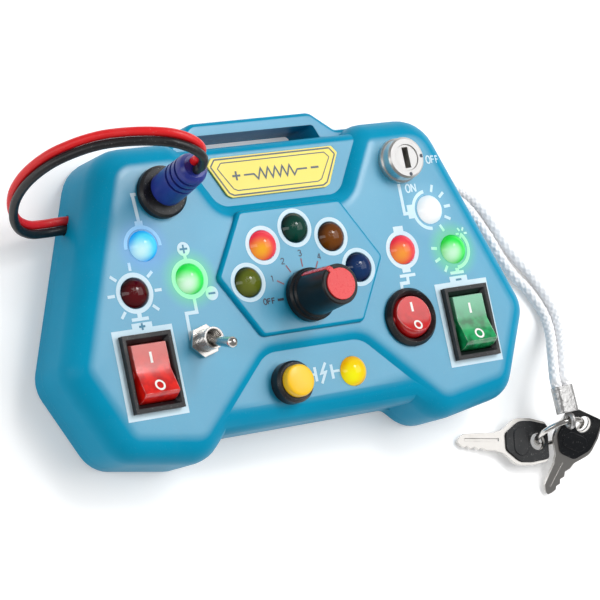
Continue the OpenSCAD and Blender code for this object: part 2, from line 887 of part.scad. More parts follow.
module dc_plug_barrel() {
    color("silver") jack_axis() difference() {
        rod(barrel_d / 2, -socket_depth + 1, plug_standoff);
        rod(1 + 0.08, -socket_depth, 0);
    }
}

// Cords

lead_axis = [0, sin(plug_lean), cos(plug_lean)];
plug_end = [jack_at[0], jack_at[1], jack_flange_h] + (plug_standoff + plug_l) * lead_axis;
// Gap between a cord's end and the piece that it enters
end_gap = 0.1;
lead_route = [
    [-55, lead_y, lead_z], [-59, lead_y, lead_z], [-63, lead_y, lead_z], [-68, 21.8, -15.2], [-73, 21.8, -13.6],
    [-77.5, 23.2, -10.8], [-80.4, 26, -6.6], [-81.5, 29.4, -1], [-80.5, 32.5, 6], [-77, 35, 13], [-71.5, 36.5, 18],
    [-66, 37, 22], [-60.5, 36.5, 25.5], [-55, 35.5, 28.4], [-49.5, 34, 30.4], [-44.5, 32, 30.4], [-40.6, 30, 28.2],
    plug_end + 3.5 * lead_axis, plug_end + 1.6 * lead_axis, plug_end + end_gap * lead_axis
];

// Key ring and sleeve frame
ring_at = [88.5, -58, -15.3];
ring_lean = 70;
ring_up = [0, cos(ring_lean), sin(ring_lean)];
function ring_point(a) = ring_at + ring_r * (cos(a) * [1, 0, 0] + sin(a) * ring_up);
function ring_tangent(a) = -sin(a) * [1, 0, 0] + cos(a) * ring_up;
sleeve_angle = 95;
sleeve_turn = atan2(-ring_tangent(sleeve_angle)[0], ring_tangent(sleeve_angle)[1]);
sleeve_way = [cos(sleeve_turn), sin(sleeve_turn), 0];
sleeve_side = [sin(sleeve_turn), -cos(sleeve_turn), 0];
sleeve_low = 2.4;
sleeve_l = 8;
strand_gap = 0.1;
strand_off = lanyard_d / 2 + strand_gap;
function strand_end(side, along) = ring_point(sleeve_angle)
    + (sleeve_low + sleeve_l + along) * sleeve_way + side * strand_off * sleeve_side;

ground_z = back_z + 1.75;
lanyard_routes = [
    [
        [56, lanyard_ys[0], lanyard_z], [60, lanyard_ys[0], lanyard_z], [64, lanyard_ys[0], lanyard_z],
        [69.5, 20.3, -16.2], [75, 18.8, -19.5], [80, 16, -21.4], [84.2, 10.5, ground_z], [87.5, 3, ground_z],
        [91.5, -3.5, ground_z], [95.8, -9.5, ground_z], [99.6, -16.5, ground_z], [101, -22.5, -21],
        [98.8, -28.5, -17.8], [94.3, -34.2, -13], strand_end(1, 3), strand_end(1, 1.5), strand_end(1, end_gap)
    ],
    [
        [56, lanyard_ys[1], lanyard_z], [61, lanyard_ys[1], lanyard_z], [66, lanyard_ys[1], lanyard_z],
        [71, 15.2, -16.5], [76, 13.2, -19.8], [79.8, 9.5, -21.6], [83.2, 3.2, ground_z], [85.8, -2.8, ground_z],
        [89, -8.4, ground_z], [92.9, -13.2, ground_z], [96.2, -19, ground_z], [97.2, -23.8, -21],
        [95, -28.8, -17.8], [90.6, -34.2, -13], strand_end(-1, 3), strand_end(-1, 1.5), strand_end(-1, end_gap)
    ]
];

// A smooth curve through the points of a route
function curve_point(p0, p1, p2, p3, t) = 0.5 * (2 * p1 + (p2 - p0) * t
    + (2 * p0 - 5 * p1 + 4 * p2 - p3) * t * t + (3 * p1 - p0 - 3 * p2 + p3) * t * t * t);
function smooth(route, steps) = let (n = len(route)) concat(
    [for (i = [0:n - 2]) for (k = [0:steps - 1])
        curve_point(route[max(i - 1, 0)], route[i], route[i + 1], route[min(i + 2, n - 1)], k / steps)],
    [route[n - 1]]);
function heading(path, i) = unit(path[min(i + 1, len(path) - 1)] - path[max(i - 1, 0)]);
function square_to(v, t) = unit(v - (v * t) * t);
function beside(path, up, distance) = [for (i = [0:len(path) - 1])
    path[i] + distance * square_to(up, heading(path, i))];

// A round cord along a path
module cord(path, r, up) {
    sides = 8;
    n = len(path);
    points = [for (i = [0:n - 1])
        let (t = heading(path, i), v = square_to(up, t), u = cross(v, t))
        for (k = [0:sides - 1]) path[i] + r * (cos(360 * k / sides) * u + sin(360 * k / sides) * v)];
    skin = [for (i = [0:n - 2]) for (k = [0:sides - 1])
        let (a = i * sides + k, b = i * sides + (k + 1) % sides, c = a + sides, d = b + sides)
        each [[a, b, d], [a, d, c]]];
    first = [for (k = [sides - 1:-1:0]) k];
    last = [for (k = [0:sides - 1]) (n - 1) * sides + k];
    polyhedron(points, concat([first, last], skin), convexity = 6);
}

module lead(side, shade) {
    middle = smooth(lead_route, 2);
    color(shade) cord(beside(middle, [0, 1, 0], side * (strand_d / 2 + 0.02)), strand_d / 2, [0, 1, 0]);
}

module lanyard(i) {
    color("white") cord(smooth(lanyard_routes[i], 2), lanyard_d / 2, [0, 0, 1]);
}

module lanyard_sleeve() {
    color("white") translate(ring_point(sleeve_angle)) {
        aim(ring_tangent(sleeve_angle)) rotate_extrude() translate([2, 0]) circle(0.7, $fn = 24);
        rotate([0, 90, sleeve_turn]) translate([0, 0, sleeve_low]) linear_extrude(sleeve_l) {
            for (side = [-1, 1]) translate([0, side * strand_off]) circle(lanyard_d / 2 + 0.3);
            square([lanyard_d + 0.6, 2 * strand_off], center = true);
        }
    }
}

module key_ring() {
    color("silver") translate(ring_at) rotate([ring_lean, 0, 0])
        rotate_extrude() translate([ring_r, 0]) circle(ring_wire_d / 2, $fn = 24);
}

// Keys: each hangs by the hole in its head, with the blade leaning to the ground

key_hole_r = 2.6;
key_edge = 3.55;
key_blade_w = 5.6;
key_plate_t = key_head_t / 2;
neck_end = key_head_d - key_edge + 1.6;
tip_z = back_z + 0.7;
// Outlines of the metal bow, its grips and their raised middle: x, y, corner radius
bow_half = [
    [-key_edge, -5.9, 1.4], [2, -7.1, 3], [7.4, -7.1, 5], [11.8, -3.5, 2], [neck_end + 0.8, -key_blade_w / 2 - 0.1, 1]
];
grip_half = [[0.05 - key_edge, -5.2, 1.2], [2, -6.2, 3], [6.2, -6.2, 4.2], [10.8, -2.6, 2.2]];
middle_half = [[3.4, -4.2, 2.4], [8.2, -4.2, 2.4]];
grip_rise = 0.25;
// Hole level and heading of each key
key_front_level = -12.4;
key_front_turn = 240;
key_rear_level = -19.6;
key_rear_turn = 170;

// Both halves of an outline that is even about the key's middle line
function both_sides(half) =
    concat(half, [for (i = [len(half) - 1:-1:0]) [half[i][0], -half[i][1], half[i][2]]]);

module key_place(level, turn, right, blade_l) {
    rise = (level - ring_at[2]) / ring_up[2];
    angle = asin(rise / ring_r);
    translate(ring_point(right ? angle : 180 - angle))
        rotate([0, asin((level - tip_z) / (neck_end + blade_l)), turn]) children();
}

// Two moulded grips on the bow of a key
module key_head() {
    color("black") for (side = [0, 180]) rotate([side, 0, 0]) {
        translate([0, 0, key_plate_t / 2]) linear_extrude(key_plate_t / 2) difference() {
            polygon(outline(both_sides(grip_half), 0));
            circle(key_hole_r);
        }
        translate([0, 0, key_plate_t - 0.1])
            linear_extrude(grip_rise + 0.1) polygon(outline(both_sides(middle_half), 0));
    }
}

// The metal of a key: its bow, and a blade with teeth and a groove on each face
module key_blade(l) {
    w = key_blade_w / 2;
    color("silver") translate([0, 0, -key_plate_t / 2]) difference() {
        linear_extrude(key_plate_t) difference() {
            union() {
                polygon(outline(both_sides(bow_half), 0));
                translate([neck_end, 0]) polygon([
                    [-2, -w], [l - 2.2, 0.5 - w], [l - 0.6, -1.1], [l, -0.3], [l, 0.3], [l - 0.9, 1.2],
                    [l - 2.2, w - 0.9], [l - 3.2, w - 1.3], [l - 4.4, w - 0.5], [l - 5.6, w - 1.2],
                    [l - 6.9, w - 0.3], [l - 8.2, w - 0.9], [l - 9.4, w - 0.1], [-2, w]
                ]);
            }
            circle(key_hole_r);
        }
        translate([neck_end - 0.5, -0.9, key_plate_t - 0.35]) cube([l - 2, 0.8, 1]);
        translate([neck_end - 0.5, 0.1, -0.65]) cube([l - 2, 0.8, 1]);
    }
}

// Drawing

in_frame() {
    front_shell();
    back_shell();
    battery_door();
    battery_door_screw();
    case_screws();
    badge_plate();
    battery_cells();
    battery_contacts();
    switch_terminals();
    for (spec = LAMPS) lamp(spec);
    for (r = ROCKERS) at([r[1] * rocker_at[0], rocker_at[1]]) rocker(r[2]);
    for (r = ROCKERS) at([r[1] * rocker_at[0], rocker_at[1]]) rocker_housing();
    round_rocker_housing();
    round_rocker();
    toggle_body();
    toggle_nut();
    toggle_lever();
    rotary_body();
    rotary_nut();
    rotary_shaft();
    knob();
    knob_cap();
    push_housing();
    push_nut();
    push_cap();
    push_spring();
    key_switch_housing();
    key_switch_nut();
    key_cylinder();
    dc_jack();
    dc_jack_nut();
    dc_plug();
    dc_plug_barrel();
    lead(1, "red");  // lead_red
    lead(-1, "black");  // lead_black
    lanyard(0);  // lanyard_a
    lanyard(1);  // lanyard_b
    lanyard_sleeve();
    key_ring();
    key_place(key_front_level, key_front_turn, true, key_front_blade_l) key_blade(key_front_blade_l);  // key_front_blade
    key_place(key_front_level, key_front_turn, true, key_front_blade_l) key_head();  // key_front_head
    key_place(key_rear_level, key_rear_turn, false, key_rear_blade_l) key_blade(key_rear_blade_l);  // key_rear_blade
    key_place(key_rear_level, key_rear_turn, false, key_rear_blade_l) key_head();  // key_rear_head
}
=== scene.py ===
# %% [markdown]
# # A busy board
# This lesson dresses the solids of a busy board, a toy panel full of lamps and switches. The solids come
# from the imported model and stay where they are. We add a camera, cords, printed marks, finishes and light.

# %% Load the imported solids
import json
import math

import bmesh
import bpy
from mathutils import Euler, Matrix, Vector
from mathutils.bvhtree import BVHTree


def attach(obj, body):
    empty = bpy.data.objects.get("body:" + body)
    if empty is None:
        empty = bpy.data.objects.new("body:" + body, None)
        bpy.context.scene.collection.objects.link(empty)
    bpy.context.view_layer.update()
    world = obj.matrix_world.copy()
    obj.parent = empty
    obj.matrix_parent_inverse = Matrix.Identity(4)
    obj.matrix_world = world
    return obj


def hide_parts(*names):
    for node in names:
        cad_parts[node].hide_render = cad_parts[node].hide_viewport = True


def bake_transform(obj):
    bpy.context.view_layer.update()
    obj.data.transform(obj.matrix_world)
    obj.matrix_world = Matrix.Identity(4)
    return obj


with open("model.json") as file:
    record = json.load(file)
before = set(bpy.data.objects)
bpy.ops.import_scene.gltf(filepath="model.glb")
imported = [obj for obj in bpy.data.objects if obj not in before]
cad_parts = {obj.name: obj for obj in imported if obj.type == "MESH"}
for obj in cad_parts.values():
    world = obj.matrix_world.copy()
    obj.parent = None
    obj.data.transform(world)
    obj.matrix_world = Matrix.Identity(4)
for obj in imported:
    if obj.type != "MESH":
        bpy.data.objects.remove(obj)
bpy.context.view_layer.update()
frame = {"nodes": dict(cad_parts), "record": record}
nodes = frame["nodes"]

# %% [markdown]
# The board was measured in millimetres from the middle of its hexagonal pad, with zero height on the
# panel face. Blender works in metres from the middle of the back, so one small function carries a point over.

# %% Panel millimetres to metres
MM = 0.001
PANEL_ORIGIN = Vector((0, 0.00138617, 0.0235))


def on_panel(x, y, z=0.0):
    return Vector((x, y, z)) * MM + PANEL_ORIGIN


def new_object(name, data):
    made = bpy.data.objects.new(name, data)
    bpy.context.scene.collection.objects.link(made)
    return made


print("pad middle:", on_panel(0, 0))

# %% [markdown]
# The camera stands high on the left and looks down on the board. Its long lens keeps the perspective
# gentle, as in a product picture. The place and the turn were solved from the outline of the panel.

# %% Camera
CAMERA_TURN = (12.6548, -30.8157, -13.7046)
camera_data = bpy.data.cameras.new("camera")
camera_data.lens = 149.473
camera_data.sensor_width = 36
camera_data.clip_start = 0.05
camera = new_object("camera", camera_data)
camera.location = (-0.37326, -0.07284, 0.60214)
camera.rotation_euler = Euler([math.radians(angle) for angle in CAMERA_TURN])
bpy.context.scene.camera = camera
print("camera at", [round(v, 3) for v in camera.location])

# %% [markdown]
# Cords follow routes: a few points that a smooth curve runs through. The same curve was used for the
# solids, so each cord lies exactly where its solid is. A curve object with a bevel would also give a round
# cord. We build a mesh tube round the curve instead, because it can carry the relief of a braid.

# %% Smooth routes
def curve_point(p0, p1, p2, p3, t):
    return 0.5 * (2 * p1 + (p2 - p0) * t + (2 * p0 - 5 * p1 + 4 * p2 - p3) * t * t
                  + (3 * p1 - p0 - 3 * p2 + p3) * t * t * t)


def smooth_route(route, steps):
    points = []
    last = len(route) - 1
    for i in range(last):
        around = [route[max(i - 1, 0)], route[i], route[i + 1], route[min(i + 2, last)]]
        points += [curve_point(*around, k / steps) for k in range(steps)]
    points.append(route[last])
    return points


def heading(path, i):
    return (path[min(i + 1, len(path) - 1)] - path[max(i - 1, 0)]).normalized()


def square_to(direction, along):
    return (direction - direction.dot(along) * along).normalized()


def beside(path, side, distance):
    return [p + square_to(side, heading(path, i)) * distance for i, p in enumerate(path)]


def path_length(path):
    return sum((b - a).length for a, b in zip(path, path[1:]))


bow = smooth_route([Vector((0, 0, 0)), Vector((1, 1, 0)), Vector((2, 0, 0))], steps=8)
print("a bow through 3 places has", len(bow), "points and is", round(path_length(bow), 3), "long")

# %% A tube along a path
def tube(name, path, radius, sides, up, relief=None):
    shape = bmesh.new()
    rings = []
    along = 0.0
    for i, point in enumerate(path):
        along += (point - path[i - 1]).length if i else 0
        forward = heading(path, i)
        top = square_to(up, forward)
        right = top.cross(forward)
        ring = []
        for k in range(sides):
            angle = 2 * math.pi * k / sides
            r = radius + (relief(angle, along) if relief else 0)
            ring.append(shape.verts.new(point + r * (math.cos(angle) * right + math.sin(angle) * top)))
        rings.append(ring)
    for low, high in zip(rings, rings[1:]):
        for k in range(sides):
            after = (k + 1) % sides
            shape.faces.new((low[k], low[after], high[after], high[k])).smooth = True
    shape.faces.new(rings[0][::-1])
    shape.faces.new(rings[-1])
    mesh = bpy.data.meshes.new(name)
    shape.to_mesh(mesh)
    shape.free()
    return new_object(name, mesh)


print("tubes ready")

# %% [markdown]
# The power lead is a pair of thin insulated wires, red and black, side by side. It leaves the left wall,
# rises in a free arch and ends in the blue plug. The wires are soft, so the arch is loose and even.

# %% Power lead
STRAND_D = 2.5
STRAND_GAP = 0.04
ACROSS = Vector((0, 1, 0))
PLUG_TILT = math.radians(8)
PLUG_AXIS = Vector((0, math.sin(PLUG_TILT), math.cos(PLUG_TILT)))
plug_end = on_panel(-39, 27.875, 20.82)
lead_points = [
    (-55, 22, -15.5), (-59, 22, -15.5), (-63, 22, -15.5), (-68, 21.8, -15.2), (-73, 21.8, -13.6),
    (-77.5, 23.2, -10.8), (-80.4, 26, -6.6), (-81.5, 29.4, -1), (-80.5, 32.5, 6), (-77, 35, 13),
    (-71.5, 36.5, 18), (-66, 37, 22), (-60.5, 36.5, 25.5), (-55, 35.5, 28.4), (-49.5, 34, 30.4),
    (-44.5, 32, 30.4), (-40.6, 30, 28.2),
]
lead_route = [on_panel(*p) for p in lead_points]
lead_route += [plug_end + reach * MM * PLUG_AXIS for reach in (3.5, 1.6, -1.0)]
lead_middle = smooth_route(lead_route, steps=8)
leads = {}
for colour, side in (("red", 1), ("black", -1)):
    path = beside(lead_middle, ACROSS, side * (STRAND_D / 2 + STRAND_GAP / 2) * MM)
    piece = tube(f"lead_{colour}_wire", path, STRAND_D / 2 * MM, sides=20, up=ACROSS)
    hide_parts(f"lead_{colour}")
    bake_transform(piece)
    leads[colour] = piece
    print(piece.name, "length", round(path_length(path), 4))

# %% [markdown]
# The lanyard is a loop of white braided cord. Both strands leave the right wall, lie on the ground in a
# loose curve and rise to a metal crimp on the key ring. A braid is two sets of yarns that wind both ways and
# cross over and under. Each yarn could be a tube, but that takes many more faces, and a bump alone would
# leave the outline smooth. The relief below raises whichever yarn is on top, so the braid is real shape.

# %% Braid relief
LANYARD_D = 3.3
YARNS = 6
PICK = 2.6
YARN_RISE = 0.42
YARN_SINK = 0.36
CROSSING_DIP = 0.45


def braid_relief(angle, along):
    turn = YARNS * angle / (2 * math.pi)
    step = along / (PICK * MM)
    right = turn + step
    left = turn - step
    over = (math.floor(right) + math.floor(left)) % 2 == 0
    across = (right if over else left) % 1 - 0.5
    length = (left if over else right) % 1 - 0.5
    dip = 1 - CROSSING_DIP + CROSSING_DIP * math.cos(math.pi * length)
    return (YARN_RISE * math.cos(math.pi * across) * dip - YARN_SINK) * MM


relief_mm = [round(braid_relief(angle, 0.0) / MM, 2) for angle in (0.0, math.pi / YARNS)]
print("braid relief between and on the yarns, mm:", relief_mm)

# %% Lanyard routes
LIE = -21.75
CRIMP_REACH = 10.4
STRAND_OFFSET = 1.75
ring_eye = on_panel(87.85, -55.44, -8.28)
crimp_turn = math.radians(91.7)
crimp_way = Vector((math.cos(crimp_turn), math.sin(crimp_turn), 0))
crimp_side = Vector((math.sin(crimp_turn), -math.cos(crimp_turn), 0))


def strand_end(side, beyond):
    return ring_eye + ((CRIMP_REACH + beyond) * crimp_way + side * STRAND_OFFSET * crimp_side) * MM


strand_routes = {
    "a": [(56, 20.5, -14.5), (60, 20.5, -14.5), (64, 20.5, -14.5), (69.5, 20.3, -16.2), (75, 18.8, -19.5),
          (80, 16, -21.4), (84.2, 10.5, LIE), (87.5, 3, LIE), (91.5, -3.5, LIE), (95.8, -9.5, LIE),
          (99.6, -16.5, LIE), (101, -22.5, -21), (98.8, -28.5, -17.8), (94.3, -34.2, -13)],
    "b": [(56, 15.8, -14.5), (61, 15.8, -14.5), (66, 15.8, -14.5), (71, 15.2, -16.5), (76, 13.2, -19.8),
          (79.8, 9.5, -21.6), (83.2, 3.2, LIE), (85.8, -2.8, LIE), (89, -8.4, LIE), (92.9, -13.2, LIE),
          (96.2, -19, LIE), (97.2, -23.8, -21), (95, -28.8, -17.8), (90.6, -34.2, -13)],
}
print("route points:", {strand: len(route) for strand, route in strand_routes.items()})

# %% Braided lanyard
UP = Vector((0, 0, 1))
lanyards = {}
for strand, side in (("a", 1), ("b", -1)):
    route = [on_panel(*p) for p in strand_routes[strand]]
    route += [strand_end(side, beyond) for beyond in (3, 1.5, -1)]
    path = smooth_route(route, steps=24)
    piece = tube(f"lanyard_{strand}_braid", path, LANYARD_D / 2 * MM, sides=30, up=UP, relief=braid_relief)
    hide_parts(f"lanyard_{strand}")
    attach(piece, "board")
    lanyards[strand] = piece
    print(piece.name, "length", round(path_length(path), 4), "faces", len(piece.data.polygons))

# %% [markdown]
# The smoothing and the finishes that follow are made of nodes. They could be put together by hand in the
# node editor, but a script can be read and run again. These helpers add a node and fill its sockets, each
# with a number or with a link from another node.

# %% Node helpers
def fill(tree, node, **values):
    for name, value in values.items():
        number = name[1:]
        socket = node.inputs[int(number) if number.isdigit() else name.replace("_", " ")]
        if isinstance(value, bpy.types.NodeSocket):
            tree.links.new(value, socket)
        else:
            socket.default_value = value


def add(tree, kind, settings=None, **values):
    node = tree.nodes.new(kind)
    for name, value in (settings or {}).items():
        setattr(node, name, value)
    fill(tree, node, **values)
    return node


def math_node(tree, operation, a, b=0.0, clamp=False):
    return add(tree, "ShaderNodeMath", {"operation": operation, "use_clamp": clamp}, s0=a, s1=b).outputs[0]


def product(tree, a, b):
    return math_node(tree, "MULTIPLY", a, b)


def vector_node(tree, operation, a, b=(0, 0, 0)):
    node = add(tree, "ShaderNodeVectorMath", {"operation": operation}, s0=a, s1=b)
    return node.outputs["Value" if operation in ("DISTANCE", "DOT_PRODUCT", "LENGTH") else "Vector"]


def mix_colour(tree, amount, a, b, blend="MIX"):
    settings = {"data_type": "RGBA", "blend_type": blend}
    return add(tree, "ShaderNodeMix", settings, s0=amount, s6=a, s7=b).outputs[2]


def ramp(tree, value, low, high, to_low=0.0, to_high=1.0):
    smooth = {"interpolation_type": "SMOOTHSTEP"}
    limits = {"s1": low, "s2": high, "s3": to_low, "s4": to_high}
    return add(tree, "ShaderNodeMapRange", smooth, s0=value, **limits).outputs[0]


print("node helpers ready")

# %% [markdown]
# The solids arrive as flat facets, while a moulding is smooth up to its corners. Shading each mesh by hand
# would edit the solids. A small geometry-node modifier works on a copy in the modifier stack instead: it
# welds the facets, shades them smoothly and keeps true corners sharp.

# %% Smooth shading for the solids
WELD = 0.002
SHARP_ANGLE = math.radians(32)


def smoothing_nodes():
    group = bpy.data.node_groups.new("Smooth Moulding", "GeometryNodeTree")
    for way in ("INPUT", "OUTPUT"):
        group.interface.new_socket("Geometry", in_out=way, socket_type="NodeSocketGeometry")
    start = add(group, "NodeGroupInput")
    weld = add(group, "GeometryNodeMergeByDistance", Geometry=start.outputs[0], Distance=WELD * MM)
    bare = add(group, "GeometryNodeRemoveAttribute", Geometry=weld.outputs[0], Name="custom_normal")
    bend = add(group, "GeometryNodeInputMeshEdgeAngle").outputs["Unsigned Angle"]
    gentle = add(group, "FunctionNodeCompare", {"operation": "LESS_THAN"}, A=bend, B=SHARP_ANGLE).outputs[0]
    edges = add(group, "GeometryNodeSetShadeSmooth", {"domain": "EDGE"}, Geometry=bare.outputs[0],
                Shade_Smooth=gentle)
    faces = add(group, "GeometryNodeSetShadeSmooth", Geometry=edges.outputs[0])
    add(group, "NodeGroupOutput", Geometry=faces.outputs[0])
    return group


smooth_moulding = smoothing_nodes()
for node in nodes.values():
    node.modifiers.new("smooth moulding", "NODES").node_group = smooth_moulding
print("smoothed:", len(nodes))

# %% [markdown]
# Finishes share some effects: a fine grain, rubbed edges, dust and scratches. Each effect is a node group,
# built once. More helpers start a group with named sockets, place it in a material and start a material.
# Colours are picked as screen values from 0 to 255, and srgb turns them into the linear values of a shader.

# %% Helpers for groups and materials
BLACK = (0, 0, 0, 1)
WHITE = (1, 1, 1, 1)


def srgb(red, green, blue):
    def linear(value):
        value /= 255
        return value / 12.92 if value <= 0.04045 else ((value + 0.055) / 1.055) ** 2.4
    return (linear(red), linear(green), linear(blue), 1.0)


def add_socket(group, label, way, value):
    kind = "Float"
    if isinstance(value, tuple):
        kind = "Color" if len(value) == len(BLACK) else "Vector"
    group.interface.new_socket(label, in_out=way, socket_type="NodeSocket" + kind).default_value = value


def start_group(name, inputs, outputs):
    group = bpy.data.node_groups.new(name, "ShaderNodeTree")
    for label, value in inputs.items():
        add_socket(group, label, "INPUT", value)
    for label, value in outputs.items():
        add_socket(group, label, "OUTPUT", value)
    return group, group.nodes.new("NodeGroupInput").outputs, group.nodes.new("NodeGroupOutput")


def place_group(tree, group, **values):
    return add(tree, "ShaderNodeGroup", {"node_tree": group}, **values).outputs


def start_material(name):
    material = bpy.data.materials.new(name)
    material.use_nodes = True
    return material, material.node_tree, material.node_tree.nodes["Principled BSDF"]


print("middle grey is linear", round(srgb(128, 128, 128)[0], 3))

# %% Helpers for surfaces
def object_place(tree):
    return add(tree, "ShaderNodeTexCoord").outputs["Object"]


def axes_of(tree, vector):
    return add(tree, "ShaderNodeSeparateXYZ", Vector=vector).outputs


def true_normal(tree):
    return add(tree, "ShaderNodeNewGeometry").outputs["Normal"]


def facing_up(tree):
    return axes_of(tree, true_normal(tree))["Z"]


def noise(tree, scale, detail, stretch=None):
    place = object_place(tree)
    if stretch:
        place = add(tree, "ShaderNodeMapping", Vector=place, Scale=stretch).outputs[0]
    return add(tree, "ShaderNodeTexNoise", Vector=place, Scale=scale, Detail=detail).outputs[0]


def wave(tree, place, pitch):
    return math_node(tree, "SINE", product(tree, place, 2 * math.pi / (pitch * MM)))


def bump(tree, height, depth, normal=None, strength=1.0):
    node = add(tree, "ShaderNodeBump", Strength=strength, Distance=depth * MM, Height=height)
    if normal:
        fill(tree, node, Normal=normal)
    return node.outputs[0]


print("surface helpers ready")

# %% [markdown]
# Moulded plastic is never one colour. It carries a fine spark-eroded grain from the mould and slow, faint
# changes of shade. A picture of such a surface would repeat and blur close up, so two noises make it, a fine
# and a slow one. The grain goes into a bump height, and it also makes the gloss uneven.

# %% Moulded grain group
def moulded_grain_group():
    inputs = {"Colour": (0.5, 0.5, 0.5, 1), "Shade": (0.4, 0.4, 0.4, 1), "Grain": 2500.0, "Roughness": 0.4,
              "Spread": 0.1}
    outputs = {"Color": BLACK, "Roughness": 0.0, "Height": 0.0}
    group, given, made = start_group("Moulded Grain", inputs, outputs)
    fine = noise(group, given["Grain"], detail=2.0)
    slow = noise(group, scale=45.0, detail=4.0)
    patch = ramp(group, slow, low=0.3, high=0.7)
    tone = mix_colour(group, patch, given["Colour"], given["Shade"])
    uneven = product(group, math_node(group, "SUBTRACT", slow, 0.5), given["Spread"])
    sparkle = product(group, math_node(group, "SUBTRACT", fine, 0.5), given["Spread"])
    change = math_node(group, "ADD", uneven, sparkle)
    rough = math_node(group, "ADD", given["Roughness"], change, clamp=True)
    fill(group, made, Color=tone, Roughness=rough, Height=fine)
    return group


moulded_grain = moulded_grain_group()
print("group:", moulded_grain.name)

# %% [markdown]
# Hands rub the corners of a toy first. A mask of the corners could be painted, but it would be lost with each
# change of a solid. The Bevel node finds them every time: it looks a little way round each point and returns
# a softened normal. Where that differs from the true normal there is an edge. Noise breaks the mask up. On
# the rockers the same mask carries a painted highlight instead of wear.

# %% Edge rub and highlight group
def edge_rub_and_highlight_group():
    inputs = {"Width": 0.0004, "Amount": 0.5, "Breakup": 400.0}
    group, given, made = start_group("Edge Rub And Highlight", inputs, {"Mask": 0.0, "Normal": (0, 0, 0)})
    soft = add(group, "ShaderNodeBevel", {"samples": 4}, Radius=given["Width"]).outputs[0]
    agree = vector_node(group, "DOT_PRODUCT", soft, true_normal(group))
    edge = ramp(group, agree, low=0.985, high=0.80)
    patchy = ramp(group, noise(group, given["Breakup"], detail=3.0), low=0.35, high=0.65)
    fill(group, made, Mask=product(group, product(group, edge, patchy), given["Amount"]), Normal=soft)
    return group


edge_rub_and_highlight = edge_rub_and_highlight_group()
print("group:", edge_rub_and_highlight.name)

# %% [markdown]
# Dust settles on what faces up, in specks and thin films. Fine scratches run in a few long directions.
# Dust could be scattered as tiny meshes, but specks this fine need only a mask. Both effects are masks, so a
# material decides what a speck or a scratch does to its colour and its gloss.

# %% Dust and scratch groups
SCRATCH_STRETCHES = ((1.0, 0.06, 1.0), (0.08, 1.0, 0.3))


def settled_dust_group():
    group, given, made = start_group("Settled Dust", {"Amount": 0.3, "Specks": 2200.0}, {"Mask": 0.0})
    upward = ramp(group, facing_up(group), low=0.2, high=0.95)
    speck = ramp(group, noise(group, given["Specks"], detail=1.0), low=0.66, high=0.74)
    film = ramp(group, noise(group, scale=120.0, detail=5.0), low=0.45, high=0.8, to_high=0.35)
    both = product(group, math_node(group, "ADD", speck, film, clamp=True), upward)
    fill(group, made, Mask=product(group, both, given["Amount"]))
    return group


def fine_scratches_group():
    group, given, made = start_group("Fine Scratches", {"Amount": 0.3, "Scale": 220.0}, {"Mask": 0.0})
    masks = []
    for stretch in SCRATCH_STRETCHES:
        line = noise(group, given["Scale"], detail=2.0, stretch=stretch)
        thin = math_node(group, "ABSOLUTE", math_node(group, "SUBTRACT", line, 0.5))
        masks.append(ramp(group, thin, low=0.012, high=0.0))
    where = ramp(group, noise(group, scale=60.0, detail=2.0), low=0.5, high=0.7)
    both = product(group, math_node(group, "MAXIMUM", *masks), where)
    fill(group, made, Mask=product(group, both, given["Amount"]))
    return group


settled_dust = settled_dust_group()
fine_scratches = fine_scratches_group()
print("groups:", settled_dust.name, fine_scratches.name)

# %% [markdown]
# Twelve lamps stand on the board. Each has a place in panel millimetres, the colours of its rim, body and
# core, how strongly it shines, and the light that it throws on the panel round it, where it throws any.

# %% Lamp facts
# The spill colours are painted lamp light on the panel round each lamp.
BLUE_SPILL = (0.0, 0.05, 0.10)
GREEN_SPILL = (0.01, 0.20, 0.03)
WHITE_SPILL = (0.05, 0.055, 0.055)
LAMPS = {
    "lamp_dial_yellow": ((-18.36, -2.34), (42, 50, 10), (84, 96, 22), (100, 108, 38), 0.0, None),
    "lamp_dial_red": ((-11.34, 7.31), (232, 40, 66), (246, 70, 82), (252, 176, 42), 0.72, None),
    "lamp_dial_green": ((0.0, 11.0), (2, 28, 22), (5, 56, 45), (8, 66, 54), 0.0, None),
    "lamp_dial_amber": ((11.34, 7.31), (46, 20, 2), (100, 52, 8), (114, 62, 12), 0.0, None),
    "lamp_dial_blue": ((18.36, -2.34), (3, 16, 46), (10, 40, 86), (14, 50, 98), 0.0, None),
    "lamp_left_blue": ((-47.6, 11.5), (18, 164, 244), (80, 218, 252), (204, 250, 255), 0.74, BLUE_SPILL),
    "lamp_left_red": ((-52.9, -0.8), (30, 1, 5), (70, 3, 10), (84, 6, 14), 0.0, None),
    "lamp_left_green": ((-35.4, 1.0), (30, 214, 66), (62, 246, 96), (222, 255, 230), 0.74, GREEN_SPILL),
    "lamp_right_white": ((47.6, 11.5), (222, 238, 246), (246, 250, 252), (255, 255, 255), 0.78, WHITE_SPILL),
    "lamp_right_green": ((52.9, -0.8), (16, 206, 52), (44, 240, 84), (206, 255, 218), 0.74, GREEN_SPILL),
    "lamp_right_red": ((35.4, 1.0), (232, 40, 66), (247, 70, 84), (253, 158, 62), 0.72, None),
    "lamp_lower_yellow": ((11.2, -30.8), (230, 168, 8), (252, 212, 12), (253, 248, 18), 0.72, None),
}
lit = [name for name, (*_, strength, spill) in LAMPS.items() if strength]
print("lamps:", len(LAMPS), "lit:", len(lit))

# %% [markdown]
# A bright lamp throws light on the panel close to it. Small point lights could do this, but only finishes go
# with the exported model, so this pool of light is painted into the finish as a glow. One group adds up the
# painted light of the lamps that throw any: each is strongest at the rim of its lens and fades out within a
# few millimetres. It also tints the surface under it towards the lamp's colour, which is painted light as
# well.

# %% Painted lamp spill group
SPILL_FULL = 4.2
SPILL_GONE = 9.5
LAMP_TINT_SHARE = 0.55


